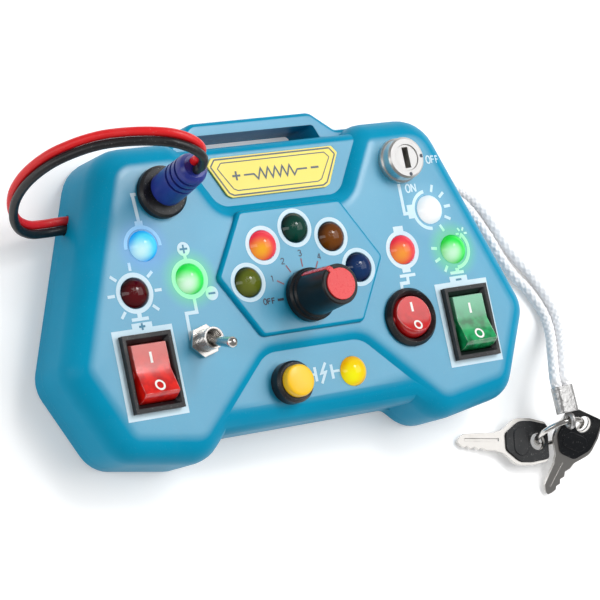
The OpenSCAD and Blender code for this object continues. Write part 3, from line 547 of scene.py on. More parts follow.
def painted_lamp_spill_group():
    group, _, made = start_group("Painted Lamp Spill", {}, {"Glow": BLACK, "Filter": BLACK})
    # Painted lamp light: a glow round each lamp that throws any, and a tint towards its colour.
    place = object_place(group)
    glow = BLACK
    tint = WHITE
    for spot, *_, spill in LAMPS.values():
        if spill is None:
            continue
        away = vector_node(group, "DISTANCE", place, on_panel(*spot))
        near = ramp(group, away, low=SPILL_GONE * MM, high=SPILL_FULL * MM)
        glow = mix_colour(group, near, glow, (*spill, 1), "ADD")
        pure = [1 - LAMP_TINT_SHARE + LAMP_TINT_SHARE * value / max(spill) for value in spill]
        tint = mix_colour(group, near, tint, (*pure, 1), "MULTIPLY")
    fill(group, made, Glow=glow, Filter=tint)
    return group


painted_lamp_spill = painted_lamp_spill_group()
print("group:", painted_lamp_spill.name)

# %% [markdown]
# A plastic finish puts the groups together: grain gives colour and gloss, rubbed edges turn lighter, dust
# dulls the top faces and scratches catch the light. The shader itself stays in each material. The casing's
# level faces are polished and its walls are matt: the panel takes a clear coat that fades on the edges.

# %% A plastic finish
DUST = (0.62, 0.62, 0.6, 1)
DUST_DULLS = 0.5
SCRATCH_DULLS = 0.2
PALE_RUB = (0.75, 0.8, 0.82, 1)
DARK_RUB = (0.16, 0.16, 0.17, 1)
PLASTIC_EDGE = 0.3


def paint_lamp_light(tree, shader, colour):
    # The light of nearby lamps is painted on, as a glow and as a tint multiplied into the colour.
    light = place_group(tree, painted_lamp_spill)
    fill(tree, shader, Emission_Color=light["Glow"], Emission_Strength=1.0)
    return mix_colour(tree, 1.0, colour, light["Filter"], "MULTIPLY")


def plastic(name, colour, shade, rough, spread, grain, depth, rub, dust, light=PALE_RUB, shine=0.5,
            top_coat=False, near_lamps=False):
    material, tree, shader = start_material(name)
    surface = place_group(tree, moulded_grain, Colour=srgb(*colour), Shade=srgb(*shade), Grain=grain,
                          Roughness=rough, Spread=spread)
    edge = place_group(tree, edge_rub_and_highlight, Width=PLASTIC_EDGE * MM, Amount=rub)
    specks = place_group(tree, settled_dust, Amount=dust)["Mask"]
    lines = place_group(tree, fine_scratches, Amount=0.25)["Mask"]
    worn = mix_colour(tree, edge["Mask"], surface["Color"], light)
    base = mix_colour(tree, specks, worn, DUST)
    # Near the lit lamps the colour takes painted lamp light.
    if near_lamps:
        base = paint_lamp_light(tree, shader, base)
    dull = math_node(tree, "ADD", surface["Roughness"], product(tree, specks, DUST_DULLS))
    gloss = math_node(tree, "ADD", dull, product(tree, lines, SCRATCH_DULLS), clamp=True)
    height = math_node(tree, "SUBTRACT", surface["Height"], lines)
    fill(tree, shader, Base_Color=base, Roughness=gloss, Specular_IOR_Level=shine,
         Normal=bump(tree, height, depth, edge["Normal"]))
    if top_coat:
        level = ramp(tree, facing_up(tree), low=0.93, high=0.985)
        fill(tree, shader, Coat_Weight=level, Coat_Roughness=0.36, Coat_IOR=1.86)
    return material


print("rubbed plastic:", PALE_RUB, "rubbed black plastic:", DARK_RUB)

# %% Plastic finishes
# Colour, shade, roughness and its spread, grain scale, grain depth in mm, edge rub and dust.
PLASTICS = {
    "casing_blue": ((2, 145, 183), (2, 139, 177), 0.38, 0.10, 2600, 0.012, 0.05, 0.03),
    "badge_yellow": ((246, 228, 112), (242, 222, 100), 0.34, 0.10, 1500, 0.004, 0.20, 0.05),
    "switch_black": ((25, 26, 29), (20, 21, 24), 0.38, 0.15, 2400, 0.012, 0.25, 0.20),
    "knob_black": ((18, 20, 23), (14, 15, 18), 0.33, 0.12, 2800, 0.008, 0.25, 0.10),
    "cap_red": ((226, 60, 62), (214, 44, 48), 0.28, 0.10, 1800, 0.006, 0.20, 0.05),
    "button_yellow": ((250, 200, 22), (244, 190, 14), 0.30, 0.10, 1200, 0.004, 0.15, 0.05),
    "plug_blue": ((32, 48, 140), (24, 38, 122), 0.34, 0.15, 2200, 0.012, 0.35, 0.10),
    "cell_wrap": ((70, 72, 76), (60, 62, 66), 0.30, 0.12, 2500, 0.020, 0.35, 0.15),
}
# near_lamps paints the light of the lit lamps on the casing round them.
PLASTIC_EXTRAS = {
    "casing_blue": {"light": (0.12, 0.5, 0.62, 1), "shine": 0.1, "top_coat": True, "near_lamps": True},
    "switch_black": {"light": DARK_RUB, "shine": 0.4},
    "knob_black": {"light": DARK_RUB, "shine": 0.3},
    "plug_blue": {"light": (0.2, 0.26, 0.6, 1)},
}
finishes = {}
for slot, facts in PLASTICS.items():
    finishes[slot] = plastic(slot.replace("_", " "), *facts, **PLASTIC_EXTRAS.get(slot, {}))
print("plastics:", len(finishes))

# %% [markdown]
# Plated metal mirrors its surroundings. Fine streaks from polishing blur the mirror a little, in one
# direction, and a faint stain keeps it from looking like a computer's chrome. An anisotropic shader could
# blur it too, but a stretched noise keeps its streaks when the finish is baked. Some metals take a second,
# brighter colour on their walls than on the faces that look up: a painted reflection.

# %% Polish group
STREAK_STRETCH = (1.0, 1.0, 0.08)
STREAK_DULLS = 0.12


def polish_group():
    inputs = {"Colour": (0.8, 0.8, 0.8, 1), "Stain": (0.6, 0.58, 0.55, 1), "Roughness": 0.15,
              "Streaks": 900.0}
    outputs = {"Color": BLACK, "Roughness": 0.0, "Height": 0.0}
    group, given, made = start_group("Polish", inputs, outputs)
    streak = noise(group, given["Streaks"], detail=3.0, stretch=STREAK_STRETCH)
    stain = ramp(group, noise(group, scale=160.0, detail=4.0), low=0.55, high=0.8, to_high=0.5)
    tone = mix_colour(group, stain, given["Colour"], given["Stain"])
    extra = product(group, math_node(group, "ADD", streak, stain), STREAK_DULLS)
    rough = math_node(group, "ADD", given["Roughness"], extra, clamp=True)
    fill(group, made, Color=tone, Roughness=rough, Height=streak)
    return group


polish = polish_group()
print("group:", polish.name)

# %% A metal finish
RUBBED_METAL = (0.9, 0.9, 0.9, 1)
METAL_EDGE = 0.2
THREAD_DEPTH = 0.12


def metal(name, colour, stain, rough, depth, thread=None, dents=None, painted_wall_reflection=None):
    material, tree, shader = start_material(name)
    surface = place_group(tree, polish, Colour=colour, Stain=stain, Roughness=rough)
    edge = place_group(tree, edge_rub_and_highlight, Width=METAL_EDGE * MM, Amount=0.3)
    base = surface["Color"]
    # Walls facing sideways or down take a brighter colour: a painted reflection.
    if painted_wall_reflection:
        level = ramp(tree, facing_up(tree), low=0.4, high=0.9)
        base = mix_colour(tree, level, painted_wall_reflection, base)
    normal = bump(tree, surface["Height"], depth, edge["Normal"])
    if dents:
        normal = bump(tree, noise(tree, scale=700.0, detail=2.0), dents, normal)
    if thread:
        turns = wave(tree, axes_of(tree, object_place(tree))["Z"], thread)
        normal = bump(tree, turns, THREAD_DEPTH, normal)
    worn = mix_colour(tree, edge["Mask"], base, RUBBED_METAL)
    fill(tree, shader, Metallic=1.0, Base_Color=worn, Roughness=surface["Roughness"], Normal=normal)
    return material


print("threads are", THREAD_DEPTH, "mm deep")

# %% Metal finishes
# Colour, stain, roughness and the depth of the streaks in mm.
METALS = {
    "nickel": ((0.50, 0.485, 0.465, 1), (0.42, 0.40, 0.37, 1), 0.16, 0.003),
    "steel": ((0.62, 0.62, 0.62, 1), (0.5, 0.48, 0.45, 1), 0.25, 0.003),
    "brass": ((0.80, 0.62, 0.32, 1), (0.6, 0.42, 0.2, 1), 0.25, 0.003),
    "crimp": ((0.5, 0.495, 0.49, 1), (0.42, 0.41, 0.4, 1), 0.3, 0.003),
    "key_metal": ((0.48, 0.465, 0.445, 1), (0.4, 0.38, 0.35, 1), 0.24, 0.006),
    "satin_face": ((0.47, 0.465, 0.46, 1), (0.43, 0.42, 0.41, 1), 0.32, 0.006),
    "threaded_nickel": ((0.48, 0.465, 0.445, 1), (0.4, 0.38, 0.35, 1), 0.18, 0.003),
}
# The wall colours are painted reflections, brighter than the faces that look up.
METAL_EXTRAS = {
    "nickel": {"painted_wall_reflection": (0.72, 0.70, 0.67, 1)},
    "crimp": {"dents": 0.3},
    "key_metal": {"painted_wall_reflection": (0.85, 0.83, 0.8, 1)},
    "satin_face": {"painted_wall_reflection": (0.85, 0.83, 0.8, 1)},
    "threaded_nickel": {"thread": 0.75, "painted_wall_reflection": (0.68, 0.66, 0.63, 1)},
}
for slot, facts in METALS.items():
    finishes[slot] = metal(slot.replace("_", " "), *facts, **METAL_EXTRAS.get(slot, {}))
print("metals:", len(METALS))

# %% [markdown]
# Each lamp is a clear coloured dome over a small diode. A lit dome is brightest above the diode, which sits
# off the middle, and deeper in colour at the rim. An unlit dome is dark, and shows a pale trace of the diode.
# A clear shader over a modelled diode would need many light bounces, so the depth is drawn with colours.
# A lit dome gives out most of its colour itself, so it takes only a quarter of it from the room's light.
# One group measures the distance from the lamp's middle, so each lamp only names its place and colours.

# %% Lens group
LEVEL_ONLY = (1, 1, 0)
TRACE_PLACE = (-0.0013, 0.0002, 0)
TRACE_COLOUR = (0.75, 0.74, 0.7, 1)


def lens_group():
    inputs = {"Centre": (0, 0, 0), "Core Place": (0, 0, 0), "Radius": 0.00415, "Rim": BLACK, "Body": BLACK,
              "Core": BLACK, "Trace": 0.0}
    group, given, made = start_group("Lens Depth", inputs, {"Color": BLACK, "Glow": BLACK})
    place = object_place(group)

    def reach(point):
        away = vector_node(group, "SUBTRACT", place, point)
        level = vector_node(group, "MULTIPLY", away, LEVEL_ONLY)
        return math_node(group, "DIVIDE", vector_node(group, "LENGTH", level), given["Radius"])

    core_at = vector_node(group, "ADD", given["Centre"], given["Core Place"])
    trace_at = vector_node(group, "ADD", given["Centre"], TRACE_PLACE)
    rim = ramp(group, reach(given["Centre"]), low=0.62, high=1.0)
    core = ramp(group, reach(core_at), low=1.05, high=0.05)
    spot = ramp(group, reach(trace_at), low=0.34, high=0.1)
    marks = product(group, spot, ramp(group, noise(group, scale=2400.0, detail=1.0), low=0.45, high=0.6))
    shaded = mix_colour(group, rim, given["Body"], given["Rim"])
    traced = mix_colour(group, product(group, marks, given["Trace"]), shaded, TRACE_COLOUR)
    fill(group, made, Color=mix_colour(group, core, traced, given["Core"]),
         Glow=mix_colour(group, core, shaded, given["Core"]))
    return group


lens_depth = lens_group()
print("group:", lens_depth.name)

# %% Lamp finishes
CORE_PLACE = (-0.0018, -0.0014, 0)
OWN_LIGHT = 0.75
UNLIT_TRACE = 0.3


def lens(name, spot, rim, body, core, strength):
    material, tree, shader = start_material(name.replace("lamp", "lens").replace("_", " "))
    depth = place_group(tree, lens_depth, Centre=on_panel(*spot), Core_Place=CORE_PLACE, Rim=srgb(*rim),
                        Body=srgb(*body), Core=srgb(*core), Trace=0.0 if strength else UNLIT_TRACE)
    base = depth["Color"]
    if strength:
        base = mix_colour(tree, OWN_LIGHT, base, BLACK)
    wear = place_group(tree, fine_scratches, Amount=0.25, Scale=500.0)["Mask"]
    gloss = ramp(tree, wear, low=0.0, high=1.0, to_low=0.07, to_high=0.3)
    fill(tree, shader, Base_Color=base, Roughness=gloss, Emission_Color=depth["Glow"],
         Emission_Strength=strength, IOR=1.5, Specular_IOR_Level=0.35)
    return material


for name, facts in LAMPS.items():
    finishes[name] = lens(name, *facts[:-1])
print("lenses:", len(LAMPS))

# %% [markdown]
# The rockers are clear coloured plastic with a lamp under one half, and fine ribs moulded inside to spread
# the light. A see-through finish would show the plain inside of the switch. So we mix a deep and a pale tint
# along the rocker, palest at the far end, and let the ribs show in the pale half. The near half is clouded
# with a brighter lit tint, painted light from its lamp. The edges get a painted white highlight, and the
# whole rocker gives out a faint glow in its own colours: painted light that lifts its shade.

# %% A rocker finish
RIB = 0.45
RIB_SHOWS = 0.35
ROCKER_EDGE = 0.5
HIGHLIGHT_WHITENESS = 0.55


def rocker_finish(name, middle, deep, pale, lit, strength):
    material, tree, shader = start_material(name)
    axes = axes_of(tree, object_place(tree))
    along = math_node(tree, "SUBTRACT", axes["Y"], on_panel(0, middle).y)
    half = ramp(tree, along, low=0.0004, high=0.0020)
    far = product(tree, half, ramp(tree, along, low=0.001, high=0.0075, to_low=0.5))
    grid = product(tree, wave(tree, along, RIB), wave(tree, axes["X"], RIB))
    ribs = product(tree, ramp(tree, grid, low=-0.2, high=0.6), half)
    cloudy = ramp(tree, noise(tree, scale=350.0, detail=3.0), low=0.3, high=0.7)
    # The lit tint clouds the near half: painted light from the lamp under it.
    tint = mix_colour(tree, far, mix_colour(tree, cloudy, deep, lit), pale)
    ribbed = mix_colour(tree, product(tree, ribs, RIB_SHOWS), tint, deep)
    # Along the edges the colour turns towards white: a painted highlight.
    edge = place_group(tree, edge_rub_and_highlight, Width=ROCKER_EDGE * MM, Amount=0.8)
    with_edge_highlight = mix_colour(tree, edge["Mask"], ribbed, mix_colour(tree, HIGHLIGHT_WHITENESS, pale, WHITE))
    wear = place_group(tree, fine_scratches, Amount=0.4, Scale=400.0)["Mask"]
    gloss = ramp(tree, wear, low=0.0, high=1.0, to_low=0.16, to_high=0.4)
    # A faint emission of the rocker's own colours over all of it is painted light that lifts its shade.
    fill(tree, shader, Base_Color=with_edge_highlight, Roughness=gloss, Normal=edge["Normal"], Emission_Color=ribbed,
         Emission_Strength=strength, Coat_Weight=0.5, Coat_Roughness=0.06)
    return material


print("ribs every", RIB, "mm")

# %% Rocker finishes
ROCKER_AT = (53.0, -22.5)
ROUND_AT = (33.0, -18.5)
RED_TINTS = (srgb(168, 5, 8), srgb(192, 96, 90), srgb(216, 26, 14))
GREEN_TINTS = (srgb(4, 98, 52), srgb(112, 182, 148), srgb(22, 156, 90))
ROUND_TINTS = (srgb(178, 6, 12), srgb(204, 36, 40), srgb(200, 16, 20))
# The strength is each rocker's painted glow.
finishes["left_rocker"] = rocker_finish("red rocker", ROCKER_AT[1], *RED_TINTS, strength=0.14)
finishes["right_rocker"] = rocker_finish("green rocker", ROCKER_AT[1], *GREEN_TINTS, strength=0.06)
finishes["round_rocker"] = rocker_finish("round red rocker", ROUND_AT[1], *ROUND_TINTS, strength=0.05)
print("rockers:", [finishes[n].name for n in ("left_rocker", "right_rocker", "round_rocker")])

# %% [markdown]
# The wires have soft insulation: low gloss, a slight waviness and a little dust. The lanyard is spun
# polyester, so its yarns show fine threads and a soft sheen. The tubes give the large shape, and the threads
# are too fine for a mesh, so they are a bump.

# %% Cord finishes
WIRE_DUST = (0.6, 0.58, 0.56, 1)
GRAIN_SHARE = 0.2


def wire_finish(name, colour, shade):
    material, tree, shader = start_material(name)
    surface = place_group(tree, moulded_grain, Colour=colour, Shade=shade, Grain=1500.0, Roughness=0.36,
                          Spread=0.2)
    specks = place_group(tree, settled_dust, Amount=0.12)["Mask"]
    dusty = mix_colour(tree, specks, surface["Color"], WIRE_DUST)
    grain = product(tree, surface["Height"], GRAIN_SHARE)
    height = math_node(tree, "ADD", grain, noise(tree, scale=300.0, detail=2.0))
    fill(tree, shader, Base_Color=dusty, Roughness=surface["Roughness"],
         Normal=bump(tree, height, depth=0.06))
    return material


def braid_finish(name, colour, shade):
    material, tree, shader = start_material(name)
    threads = noise(tree, scale=5200.0, detail=2.0)
    fuzz = ramp(tree, noise(tree, scale=900.0, detail=4.0), low=0.35, high=0.7)
    fill(tree, shader, Base_Color=mix_colour(tree, fuzz, colour, shade),
         Roughness=ramp(tree, threads, low=0.2, high=0.8, to_low=0.65, to_high=0.95),
         Normal=bump(tree, threads, depth=0.05, strength=0.8), Sheen_Weight=0.3, Sheen_Roughness=0.5)
    return material


finishes["wire_red"] = wire_finish("wire red", srgb(228, 28, 32), srgb(214, 20, 26))
finishes["wire_black"] = wire_finish("wire black", srgb(26, 26, 28), srgb(18, 18, 20))
finishes["lanyard_white"] = braid_finish("lanyard white", srgb(250, 250, 251), srgb(238, 239, 242))
for colour, piece in leads.items():
    piece.data.materials.append(finishes[f"wire_{colour}"])
for piece in lanyards.values():
    piece.data.materials.append(finishes["lanyard_white"])
print("cord finishes on", len(leads) + len(lanyards), "tubes")

# %% [markdown]
# Every solid names its finish in the record. The lamps and rockers have a finish of their own, the bushing
# of the toggle switch gets the threaded metal, the face of the key switch is satin and the keys' blades are
# key metal.

# %% Give the solids their finishes
SPECIAL = {
    "toggle_body": "threaded_nickel",
    "key_switch_housing": "satin_face",
    "key_cylinder": "satin_face",
    "key_front_blade": "key_metal",
    "key_rear_blade": "key_metal",
}
for part in frame["record"]["subparts"]:
    name = part["node"]
    finish = finishes.get(SPECIAL.get(name, name)) or finishes[part["material_slot"]]
    nodes[name].material_slots[0].material = finish

# %% [markdown]
# The panel is printed with pale circuit signs: rings round lamps, rays, leads and frames. Ink is far too thin
# for a solid, and a picture would blur close up. So each sign is a flat sheet of mesh, drawn in panel
# millimetres, and each corner is dropped on the solid below it. Strokes, rings and discs are enough. Where
# two shapes of a sheet cross, the later one lies a hair higher, so they never share one plane.

# %% Sides of a stroke
STROKE_STEP = 0.6
MITER_LIMIT = 0.5


def finely(points):
    fine = [points[0]]
    for (x0, y0), (x1, y1) in zip(points, points[1:]):
        pieces = max(1, int(math.hypot(x1 - x0, y1 - y0) / STROKE_STEP))
        fine += [(x0 + (x1 - x0) * k / pieces, y0 + (y1 - y0) * k / pieces) for k in range(1, pieces + 1)]
    return fine


def way(points, i):
    return (Vector(points[i + 1]) - Vector(points[i])).normalized()


def stroke_sides(points, width):
    fine = finely(points)
    left = []
    right = []
    for i, (x, y) in enumerate(fine):
        before = way(fine, max(i - 1, 0))
        after = way(fine, i) if i < len(fine) - 1 else before
        bisector = (before + after).normalized()
        miter = width / 2 / max(MITER_LIMIT, bisector.dot(before))
        side = Vector((-bisector.y, bisector.x)) * miter
        left.append((x + side.x, y + side.y))
        right.append((x - side.x, y - side.y))
    return left, right


print("a stroke of 6 mm has", len(finely([(0, 0), (6, 0)])), "points")

# %% Sheets of strips and rings
FEWEST_STEPS = 8
DEGREES_A_STEP = 6


def turned(angle):
    return math.cos(math.radians(angle)), math.sin(math.radians(angle))


class Sheet:
    def __init__(self, name):
        self.name = name
        self.points = []
        self.faces = []
        self.shapes = 0

    def strip(self, left, right, closed=False):
        first = len(self.points)
        for a, b in zip(left, right):
            self.points.extend(((*a, self.shapes), (*b, self.shapes)))
        self.shapes += 1
        count = len(left)
        for i in range(count if closed else count - 1):
            a = first + 2 * i
            b = first + 2 * ((i + 1) % count)
            self.faces.append((a, a + 1, b + 1, b))

    def ring(self, x, y, inner, outer, start=0.0, end=360.0):
        closed = end - start >= 360
        count = max(FEWEST_STEPS, int(abs(end - start) / DEGREES_A_STEP))
        steps = range(count if closed else count + 1)
        ways = [turned(start + (end - start) * i / count) for i in steps]
        rims = [[(x + r * c, y + r * s) for c, s in ways] for r in (outer, inner)]
        self.strip(*rims, closed)

    def stroke(self, points, width):
        self.strip(*stroke_sides(points, width))


trial = Sheet("trial")
trial.ring(0, 0, 1, 2)
print("a full ring has", len(trial.faces), "faces")

# %% Signs made of strokes and rings
PIN_HOLE = 0.02


class Signs(Sheet):
    def line(self, x0, y0, x1, y1, width):
        self.stroke([(x0, y0), (x1, y1)], width)

    def disc(self, x, y, r):
        self.ring(x, y, PIN_HOLE, r)

    def rays(self, x, y, near, far, angles, width):
        for c, s in map(turned, angles):
            self.line(x + near * c, y + near * s, x + far * c, y + far * s, width)

    def outline(self, x0, y0, x1, y1, width):
        for x in (x0, x1):
            self.line(x, y0, x, y1, width)
        for y in (y0, y1):
            self.line(x0 - width / 2, y, x1 + width / 2, y, width)

    def block(self, x0, y0, x1, y1):
        middle = (x0 + x1) / 2
        self.line(middle, y0, middle, y1, x1 - x0)

    def plus(self, x, y, size, width):
        self.line(x - size / 2, y, x + size / 2, y, width)
        self.line(x, y - size / 2, x, y + size / 2, width)


trial = Signs("trial")
trial.plus(0, 0, size=2, width=0.5)
print("a plus has", trial.shapes, "shapes")

# %% Laying signs on a solid
SHAPE_LIFT = 0.0015
DROP_FROM = 40


def surface_of(mesh):
    points = [v.co for v in mesh.vertices]
    return BVHTree.FromPolygons(points, [polygon.vertices[:] for polygon in mesh.polygons])


def lay(sheet, material, solid="front_shell", body="board", lift=0.03):
    surface = surface_of(nodes[solid].data)
    mesh = bpy.data.meshes.new(sheet.name)
    placed = []
    for x, y, shape in sheet.points:
        above = lift + SHAPE_LIFT * shape
        hit = surface.ray_cast(on_panel(x, y, DROP_FROM), -UP)[0]
        placed.append(hit + UP * above * MM if hit else on_panel(x, y, above))
    mesh.from_pydata(placed, [], sheet.faces)
    mesh.materials.append(material)
    piece = new_object(sheet.name, mesh)
    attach(piece, body)
    print("printed", sheet.name, "faces", len(sheet.faces))


print("faces of the front shell to print on:", len(nodes["front_shell"].data.polygons))

# %% [markdown]
# Printing ink has its own finish: flat, slightly uneven where the pad pressed less, and thinner at places.
# The ink lies on grained plastic and takes its grain on, so the grain group is used again, with specks of a
# second shade where the ink is thin.

# %% Ink finishes
def ink(name, colour, shade, near_lamps=False):
    material, tree, shader = start_material(name)
    surface = place_group(tree, moulded_grain, Colour=colour, Shade=shade, Grain=3000.0, Roughness=0.45,
                          Spread=0.15)
    specks = ramp(tree, noise(tree, scale=1800.0, detail=3.0), low=0.62, high=0.72, to_high=0.35)
    printed = mix_colour(tree, specks, surface["Color"], shade)
    # Near the lit lamps the ink takes painted lamp light.
    if near_lamps:
        printed = paint_lamp_light(tree, shader, printed)
    fill(tree, shader, Base_Color=printed, Roughness=surface["Roughness"],
         Normal=bump(tree, surface["Height"], depth=0.01, strength=0.6))
    return material


# The pale ink also takes painted lamp light near the lit lamps.
pale_ink = ink("pale ink", srgb(206, 228, 238), srgb(186, 214, 228), near_lamps=True)
teal_ink = ink("teal ink", srgb(58, 130, 160), srgb(48, 120, 150))
dark_ink = ink("dark ink", srgb(44, 52, 66), srgb(58, 70, 88))
tick_ink = ink("tick ink", srgb(132, 84, 96), srgb(120, 96, 112))
white_ink = ink("white ink", srgb(244, 244, 240), srgb(226, 226, 222))
badge_ink = ink("badge ink", srgb(84, 96, 104), srgb(98, 108, 112))
print("inks ready")

# %% [markdown]
# On the left grip a lead runs from the socket to the blue lamp, a sun of rays stands round the dark red lamp,
# and a plus and a minus sit by the green lamp, whose lead ends at the toggle switch.

# %% Line widths and the frame of a rocker
LINE = 1.0
FINE_LINE = 0.9
RAY = 0.85
STEM = 1.3
MARK = 0.6
SMALL_MARK = 0.55
OVER_INK = 0.09
MARK_DISC = 1.95
LENS_RIM = 4.35
RING_RIM = 5.6
FRAME_W = 18.6
FRAME_L = 24.4
FRAME_LINE = 1.9


def rocker_frame(sheet, x):
    y = ROCKER_AT[1]
    inset = FRAME_LINE / 2
    sheet.outline(x - FRAME_W / 2 + inset, y - FRAME_L / 2 + inset,
                  x + FRAME_W / 2 - inset, y + FRAME_L / 2 - inset, FRAME_LINE)


print("rocker frame:", FRAME_W, "x", FRAME_L, "mm")

# %% Signs on the left grip
left = Signs("left_signs")
left.line(-48.3, 25.7, -46.6, 25.7, FINE_LINE)
left.line(-47.7, 25.7, -47.4, 18.3, LINE)
left.block(-48.7, 16.2, -46.3, 18.4)
left.ring(-47.6, 11.5, 4.75, 5.75, -4, 184)
left.ring(-52.9, -0.8, LENS_RIM, RING_RIM)
left.rays(-52.9, -0.8, 6.1, 8.3, (0, 39, 90, 141, 181, 230, 320), RAY)
left.line(-52.8, -6.2, -52.8, -7.9, STEM)
left.line(-55.4, -7.9, -50.2, -7.9, FINE_LINE)
left.block(-55.8, -10.9, -49.6, -8.9)
rocker_frame(left, -ROCKER_AT[0])
left.ring(-35.4, 1.0, LENS_RIM, RING_RIM)
left.line(-35.5, 6.4, -35.5, 7.8, LINE)
left.disc(-35.5, 9.3, MARK_DISC)
left.disc(-29.5, -3.7, MARK_DISC)
left.stroke([(-35.3, -4.4), (-35.3, -8.2), (-38.6, -8.2), (-38.8, -16.0)], LINE)
lay(left, pale_ink)

# %% Marks over the left signs
marks = Signs("left_plus_minus")
marks.plus(-35.5, 9.3, size=2.4, width=SMALL_MARK)
marks.line(-30.6, -3.7, -28.4, -3.7, SMALL_MARK)
marks.plus(-52.7, -9.95, size=1.9, width=MARK)
lay(marks, teal_ink, lift=OVER_INK)

# %% [markdown]
# The right grip mirrors the idea: a lead from the key switch to the white lamp, a bulb sign round the red
# lamp that leads to the round rocker, and rays by the green lamp over the green rocker.

# %% Signs on the right grip
right = Signs("right_signs")
right.stroke([(38.9, 20.0), (38.8, 11.2), (40.2, 11.2)], LINE)
right.block(40.0, 9.6, 42.0, 13.6)
right.ring(47.6, 11.5, 5.0, 6.0, 98, 268)
right.rays(47.6, 11.5, 5.4, 7.6, (69, 37, 4, -27, -62), RAY)
right.ring(35.4, 1.0, LENS_RIM, RING_RIM)
right.block(33.7, 6.2, 37.1, 7.9)
right.block(33.9, -5.6, 36.7, -4.2)
right.line(32.6, -6.5, 38.0, -6.5, FINE_LINE)
right.stroke([(35.2, -6.5), (35.0, -8.6), (32.6, -8.6), (32.5, -10.6)], LINE)
right.ring(52.9, -0.8, 5.0, 6.0, -86, 48)
right.rays(52.9, -0.8, 5.6, 7.6, (172, 203, 235), RAY)
right.rays(57.0, 3.4, 0.9, 2.0, (0, 60, 120, 180, 240, 300), MARK)
right.line(52.9, -6.4, 52.8, -7.9, STEM)
right.line(50.2, -7.7, 55.0, -7.7, FINE_LINE)
right.block(49.5, -10.9, 55.7, -8.7)
rocker_frame(right, ROCKER_AT[0])
lay(right, pale_ink)

marks = Signs("right_minus")
marks.line(51.6, -9.8, 53.6, -9.8, MARK)
lay(marks, teal_ink, lift=OVER_INK)

# %% [markdown]
# Words and numbers are drawn with the same strokes. Text objects would need a font, and their outlines make
# uneven faces. Only the plain switch words and dial numbers are needed, so a small table of letter strokes in
# a unit box is enough. Two dots mark the key's positions.

# %% Letters
ROUND_STEPS = [2 * math.pi * i / 20 for i in range(21)]
ROUND = [(0.32 + 0.32 * math.cos(a), 0.5 + 0.5 * math.sin(a)) for a in ROUND_STEPS]
LETTERS = {
    "O": [ROUND],
    "N": [[(0, 0), (0, 1)], [(0, 1), (0.62, 0)], [(0.62, 0), (0.62, 1)]],
    "F": [[(0, 0), (0, 1)], [(0, 0.94), (0.55, 0.94)], [(0, 0.52), (0.48, 0.52)]],
    "1": [[(0.12, 0.8), (0.34, 1)], [(0.34, 1), (0.34, 0)]],
    "2": [[(0, 0.74), (0.1, 0.93), (0.3, 1), (0.5, 0.93), (0.57, 0.74), (0.48, 0.52), (0, 0.04)],
          [(0, 0.04), (0.6, 0.04)]],
    "3": [[(0, 0.84), (0.14, 0.97), (0.36, 0.99), (0.54, 0.84), (0.5, 0.62), (0.28, 0.53)],
          [(0.28, 0.53), (0.52, 0.46), (0.6, 0.26), (0.48, 0.06), (0.24, 0), (0, 0.14)]],
    "4": [[(0.44, 0), (0.44, 1)], [(0.44, 1), (0, 0.3)], [(0, 0.3), (0.62, 0.3)]],
    "5": [[(0.54, 0.97), (0.08, 0.97)], [(0.08, 0.97), (0.04, 0.54)],
          [(0.04, 0.54), (0.3, 0.62), (0.52, 0.52), (0.6, 0.3), (0.5, 0.08), (0.25, 0), (0, 0.12)]],
}
LETTER_STEP = 0.86
LETTER_GAP = 0.24


def write(sheet, word, x, y, height, width):
    step = LETTER_STEP * height
    start = x - (len(word) * step - LETTER_GAP * height) / 2
    for i, letter in enumerate(word):
        left = start + i * step
        for line in LETTERS[letter]:
            sheet.stroke([(left + px * height, y - height / 2 + py * height) for px, py in line], width)


print("letters:", "".join(LETTERS))

# %% Switch words and dial numbers
words = Signs("switch_words")
write(words, "ON", 42.7, 18.4, height=2.3, width=0.45)
write(words, "OFF", 52.8, 26.1, height=2.2, width=0.42)
lay(words, pale_ink)

KEY_AT = (40.2, 26.6)
KEY_DOT = 0.55
dots = Signs("key_dots")
dots.disc(KEY_AT[0] + 5.0, KEY_AT[1], KEY_DOT)
dots.disc(KEY_AT[0] + 0.2, KEY_AT[1] - 4.9, KEY_DOT)
lay(dots, dark_ink, "key_switch_housing")

KNOB_AT = (0.0, -8.3)
TICK_FROM = 8.2
NUMBERS_AT = 12.1
numbers = Signs("dial_numbers")
ticks = Signs("dial_ticks")
for number, angle in zip("12345", (150, 120, 90, 60, 30)):
    c, s = turned(angle)
    x, y = KNOB_AT[0] + NUMBERS_AT * c, KNOB_AT[1] + NUMBERS_AT * s
    ticks.rays(*KNOB_AT, TICK_FROM, far=10.6, angles=[angle], width=0.45)
    write(numbers, number, x, y, height=1.7, width=0.26)
write(numbers, "OFF", KNOB_AT[0] - 12.9, KNOB_AT[1], height=1.6, width=0.34)
numbers.rays(*KNOB_AT, TICK_FROM, far=10.2, angles=[180], width=0.7)
lay(numbers, dark_ink)
lay(ticks, tick_ink)

# %% [markdown]
# Pale rings stand round the five dial lamps, and the lower shelf has a small supply sign beside its lamp.
# The rings take their places from the table of lamps, so that they always stand round the lenses.

# %% Dial rings and the lower sign
DIAL_RIM = 5.5
rings = Signs("dial_rings")
for name, facts in LAMPS.items():
    if "dial" in name:
        rings.ring(*facts[0], LENS_RIM, DIAL_RIM)
lay(rings, pale_ink)

